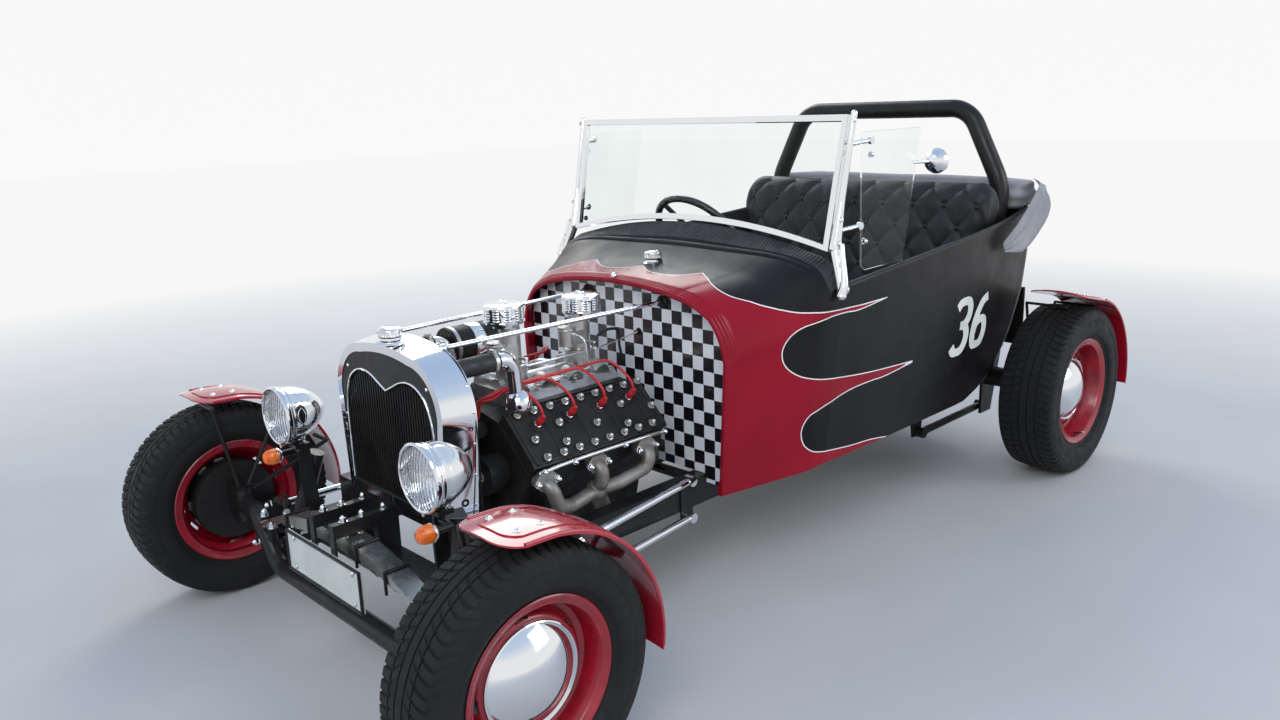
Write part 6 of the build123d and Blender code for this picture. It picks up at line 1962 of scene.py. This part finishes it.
def add_seat():
    """Tufted bench: back with a rolled top, cushion, buttons, piping and the riser under it."""
    def widen(z):
        return 1 + 0.115 * smooth(930, 1010, z)

    back = soft_piece("seat_back", pad_rows(BACK_SECTION, 492, 60, widen), 10, FILL_MOST, "vinyl")
    facing = Vector((0, -0.95, 0.3)).normalized()

    def back_amount(point, normal):
        z, x = point.z / MM, abs(point.x) / MM
        weight = smooth(0.15, 0.6, normal.dot(facing)) * smooth(600, 640, z) * (1 - smooth(1062, 1086, z))
        weight *= 1 - smooth(500, 535, x)
        return -TUFT_DEPTH * tuft(point.x / MM, z - BACK_ROW) * weight

    displaced(back, back_amount)
    base = soft_piece("seat_cushion", pad_rows(BASE_SECTION, 488, 40), 10, FILL_MOST, "vinyl")

    def base_amount(point, normal):
        station, x = (point.y - AXLE_Y) / MM, abs(point.x) / MM
        weight = smooth(0.3, 0.8, normal.z) * smooth(1716, 1745, station) * (1 - smooth(440, 470, x))
        return -TUFT_DEPTH * 0.8 * tuft(point.x / MM, station - BASE_ROW) * weight

    displaced(base, base_amount)
    for piece in (back, base):
        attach(piece, "chassis")
        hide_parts("seat")
    extras = Builder("seat_buttons", "chassis", "vinyl", "carpet")
    back_tree, base_tree = surface_tree(back), surface_tree(base)
    for m in range(-6, 12):
        for n in range(-12, 12):
            u, v = TUFT_WIDE * (m + n) / 2, TUFT_HIGH * (m - n) / 2
            if abs(u) < 500 and 635 < v + BACK_ROW < 1064:
                add_button(extras, back_tree, at(u, 1500, v + BACK_ROW), AFT)
            if abs(u) < 450 and 1740 < v + BASE_ROW < 2040:
                add_button(extras, base_tree, at(u, v + BASE_ROW, 1000), -UP)
    front = [at(x, 1706 + 16 * smooth(430, 488, abs(x)), 572) for x in range(-484, 485, 22)]
    extras.finish("vinyl").tube(front, 4.5, 10)
    for inner, outer in ((134, 484), (-484, -134)):
        extras.finish("carpet").slab(at(inner, 1722, 350), at(outer, 2060, 462), 6)
    extras.build(angle=40, replaces=("seat",))


def add_button(piece, tree, start, ahead):
    """Covered button where a line from outside meets the pad."""
    spot, normal, _, _ = tree.ray_cast(start, ahead)
    if spot is None:
        return
    out = -normal if normal.dot(ahead) > 0 else normal
    dome = [(-2, 11), (1.5, 10.5), (4, BUTTON_R), (6, 6.5), (7, 3), (7.2, 0)]
    piece.finish("vinyl").lathe(dome, spot, out, 18)


BOOT_SECTION = ((2436, 978), (2428, 1016), (2434, 1052), (2462, 1074), (2510, 1080), (2560, 1072),
                (2588, 1046), (2592, 1010), (2582, 982), (2520, 974))
# edges of the loose flap, from its lower front end to the boot, and its steps along and across
FLAP_TOP = ((604, 2200, 884), (606, 2300, 950), (604, 2400, 1020), (588, 2480, 1066), (548, 2520, 1080))
FLAP_LOW = ((600, 2226, 850), (606, 2349, 842), (610, 2460, 900), (604, 2556, 976), (560, 2600, 1050))
FLAP_LONG, FLAP_WIDE = 60, 34


def add_boot():
    """Folded canvas hood under its boot, with a loose flap over the left rear corner."""
    boot = soft_piece("folded_hood", pad_rows(BOOT_SECTION, 546, 46), 8, FILL_MOST, "canvas")

    def fold_amount(point, normal):
        station, x, z = (point.y - AXLE_Y) / MM, point.x / MM, point.z / MM
        fold = sin((station * 0.55 + z * 0.9 + 16 * noise.noise(point * 5)) / 11.5)
        pull = noise.noise(Vector((x * 0.004, station * 0.02, z * 0.02)))
        deep = smooth(430, 546, abs(x)) * 4 * sin(z / 7)
        return -2.2 + 3.0 * fold + 5 * pull + deep

    displaced(boot, fold_amount)
    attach(boot, "chassis")
    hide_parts("hood_boot")

    top, low = swept(FLAP_TOP, 12), swept(FLAP_LOW, 12)
    rows = []
    for i in range(FLAP_LONG + 1):
        u = i / FLAP_LONG
        row = []
        for j in range(FLAP_WIDE + 1):
            v = j / FLAP_WIDE
            belly = 9 * sin(pi * v) * sin(pi * min(1, u * 1.1))
            crease = 6 * sin(7.5 * v + 3.2 * u) * smooth(0.0, 0.25, u) + 2.4 * sin(21 * v + 9 * u)
            out = (belly + crease * (1 - smooth(0.75, 1.0, u))) * MM
            row.append(along(top, u).lerp(along(low, u), v) + Vector((out, 0, 0)))
        rows.append(row)
    flap = Builder("hood_flap", "chassis", "canvas")
    flap.grid(rows)
    piece = flap.build(angle=60)
    modified(piece, "SOLIDIFY", thickness=0.0016, offset=0.0)
    piece.data.shade_smooth()


def along(line, share):
    """Point at a share of a line of points."""
    spot = share * (len(line) - 1)
    k = min(int(spot), len(line) - 2)
    return line[k].lerp(line[k + 1], spot - k)


DASH_AT = 1275
# x, z and radius of each instrument
GAUGES = ((-300, 868, 46), (-180, 862, 30), (-420, 862, 30), (-60, 858, 30), (60, 858, 30))
NEEDLE_TURN = radians(200)
# the hand wheel's middle and the direction of its column
HUB, COLUMN = (-300, 1660, 900), (0, 0.82, 0.57)


def add_dash():
    """Round instruments with ticks and needles, switches, and trim on the dashboard."""
    dash = Builder("instruments", "chassis", "chrome", "dial", "black", "red", "alloy")
    for x, z, radius in GAUGES:
        centre = at(x, DASH_AT, z)
        bezel = [(-1, 5), (3, 5), (5, 3), (5.4, 1), (3, -1), (2, -1.4)]
        dash.finish("chrome").lathe([(a, radius + b) for a, b in bezel], centre, AFT, 48)
        dash.finish("dial").lathe([(2, radius - 1), (2.01, 0)], centre, AFT, 48)
        for k in range(11):
            angle = radians(225 - 27 * k)
            spoke = Vector((-cos(angle), 0, sin(angle))) * (radius * MM)
            near, far = (centre + spoke * share + AFT * 0.0022 for share in (0.7, 0.88))
            dash.finish("black").rod(near, far, 1.0 if k % 5 == 0 else 0.7, 6)
        needle = Vector((-cos(NEEDLE_TURN), 0, sin(NEEDLE_TURN))) * (radius * 0.72 * MM)
        start = centre + AFT * 0.0034
        dash.finish("red").rod(start, start + needle, 0.8, 6)
        dash.finish("black").lathe([(2, 3.4), (4.4, 3), (4.6, 0)], centre, AFT, 14)
    switch = [(-1, 9), (2, 9), (3, 7), (3, 3), (14, 2.4), (16, 4), (20, 4.4), (22, 3), (22.4, 0)]
    for x in (140, 180, 220, 260):
        dash.finish("chrome").lathe(switch, at(x, DASH_AT, 852), AFT, 20)
    dash.finish("alloy").frame(rectangle(1274, (300, 800), (500, 890)), 1.6)
    dash.finish("chrome").lathe([(-1, 11), (3, 10), (8, 7), (9, 0)], at(400, DASH_AT, 846), AFT, 20)
    dash.build(angle=34)

    inside = Builder("driver_controls", "chassis", "black", "chrome", "rubber", "grip", "alloy")
    for x, low in ((-380, 470), (-300, 470), (-215, 455)):
        arm = swept(((x, 1010, 640), (x, 1040, 560), (x, 1080, low + 40), (x, 1104, low + 20)), 6)
        inside.finish("black").tube(arm, 6, 10)
        pad = at(x, 1112, low + 26)
        corners = [pad + Vector((a, b * 0.4, b)) * MM
                   for a, b in ((-26, -34), (26, -34), (26, 34), (-26, 34))]
        inside.finish("rubber").prism(corners, (0, 0.007, -0.003), 2)
        for k in range(-2, 3):
            a = pad + Vector((-0.021, 0.009 + k * 0.0052, -0.002 + k * 0.013))
            inside.rod(a, a + Vector((0.042, 0, 0)), 1.6, 8)
    stick = swept(((0, 1380, 452), (0, 1392, 540), (0, 1420, 640), (-4, 1452, 720)), 8)
    inside.finish("chrome").tube(stick, 6.5, 14)
    inside.finish("grip").ball(at(-4, 1456, 736), 22, 14, 22, (1, 1, 1.1))
    boot = [(0, 52), (4, 50), (10, 38), (20, 36), (26, 26), (36, 24), (42, 15), (54, 12), (58, 7)]
    inside.finish("rubber").lathe(boot, at(0, 1380, 450), (0, 0.12, 1), 36)
    lever = swept(((96, 1500, 452), (96, 1540, 520), (94, 1600, 590)), 8)
    inside.finish("chrome").tube(lever, 7, 12)
    inside.finish("grip").tube([at(94, 1588, 577), at(92, 1650, 648)], [11, 12], 16)
    inside.build(angle=36)

    hub = at(*HUB)
    wheel = Builder("wheel_boss", "hand_wheel", "chrome", "black", "grip")
    boss = [(-14, 30), (8, 34), (14, 31), (19, 24), (22, 12), (22.6, 0)]
    wheel.finish("chrome").lathe(boss, hub, COLUMN, 40)
    wheel.finish("black").lathe([(21, 14), (24, 12), (25.5, 6), (26, 0)], hub, COLUMN, 32)
    wheel.build(angle=34)


def add_floor_trim():
    """Bolts and edges under the body, and hangers for the exhaust pipes."""
    under = Builder("underbody_fittings", "chassis", "steel", "black", "rubber")
    for side in SIDES:
        for station in (1080, 1350, 1620, 1890, 2140):
            under.finish("steel").nut(at(side * 331, station, 300), (side, 0, 0), 17, 10)
        for station in (1450, 2000):
            low, high = at(side * 270 - 14, station - 2, 215), at(side * 270 + 14, station + 2, 320)
            under.finish("black").slab(low, high, 0.6)
    under.build(angle=34)


add_seat()
add_boot()
add_dash()
add_floor_trim()

# CAD nodes that keep their shape get their finish here.
NODE_FINISH = {
    "black": "front_axle knuckle_left knuckle_right rear_axle rear_links front_shocks rails crossmembers "
             "lamp_stands radiator_face cowl dashboard body_tub roll_hoop",
    "chrome": "radius_rods tie_rod headlights water_outlets radiator_shell filler_caps support_rods "
              "air_cleaners windscreen_frame steering_column mirror",
    "red": "front_fender_left front_fender_right rear_fenders",
    "engine": "distributor engine_block cylinder_heads generator",
    "alloy": "intake_manifold carburettors gearbox",
    "glass": "windscreen_glass wind_wings",
    "steel": "leaf_springs", "lens": "lamp_lenses", "plate": "number_plate", "ruby": "tail_lamps",
    "mesh": "radiator_core", "header": "headers", "rubber": "water_hoses", "checks": "firewall",
    "carpet": "floor", "vinyl": "seat", "canvas": "hood_boot", "grip": "steering_wheel",
}


def finish_nodes():
    for key, names in NODE_FINISH.items():
        for name in names.split():
            materials = NODES[name].data.materials
            materials.clear()
            materials.append(M[key])


add_stage()
finish_nodes()
add_wheels()
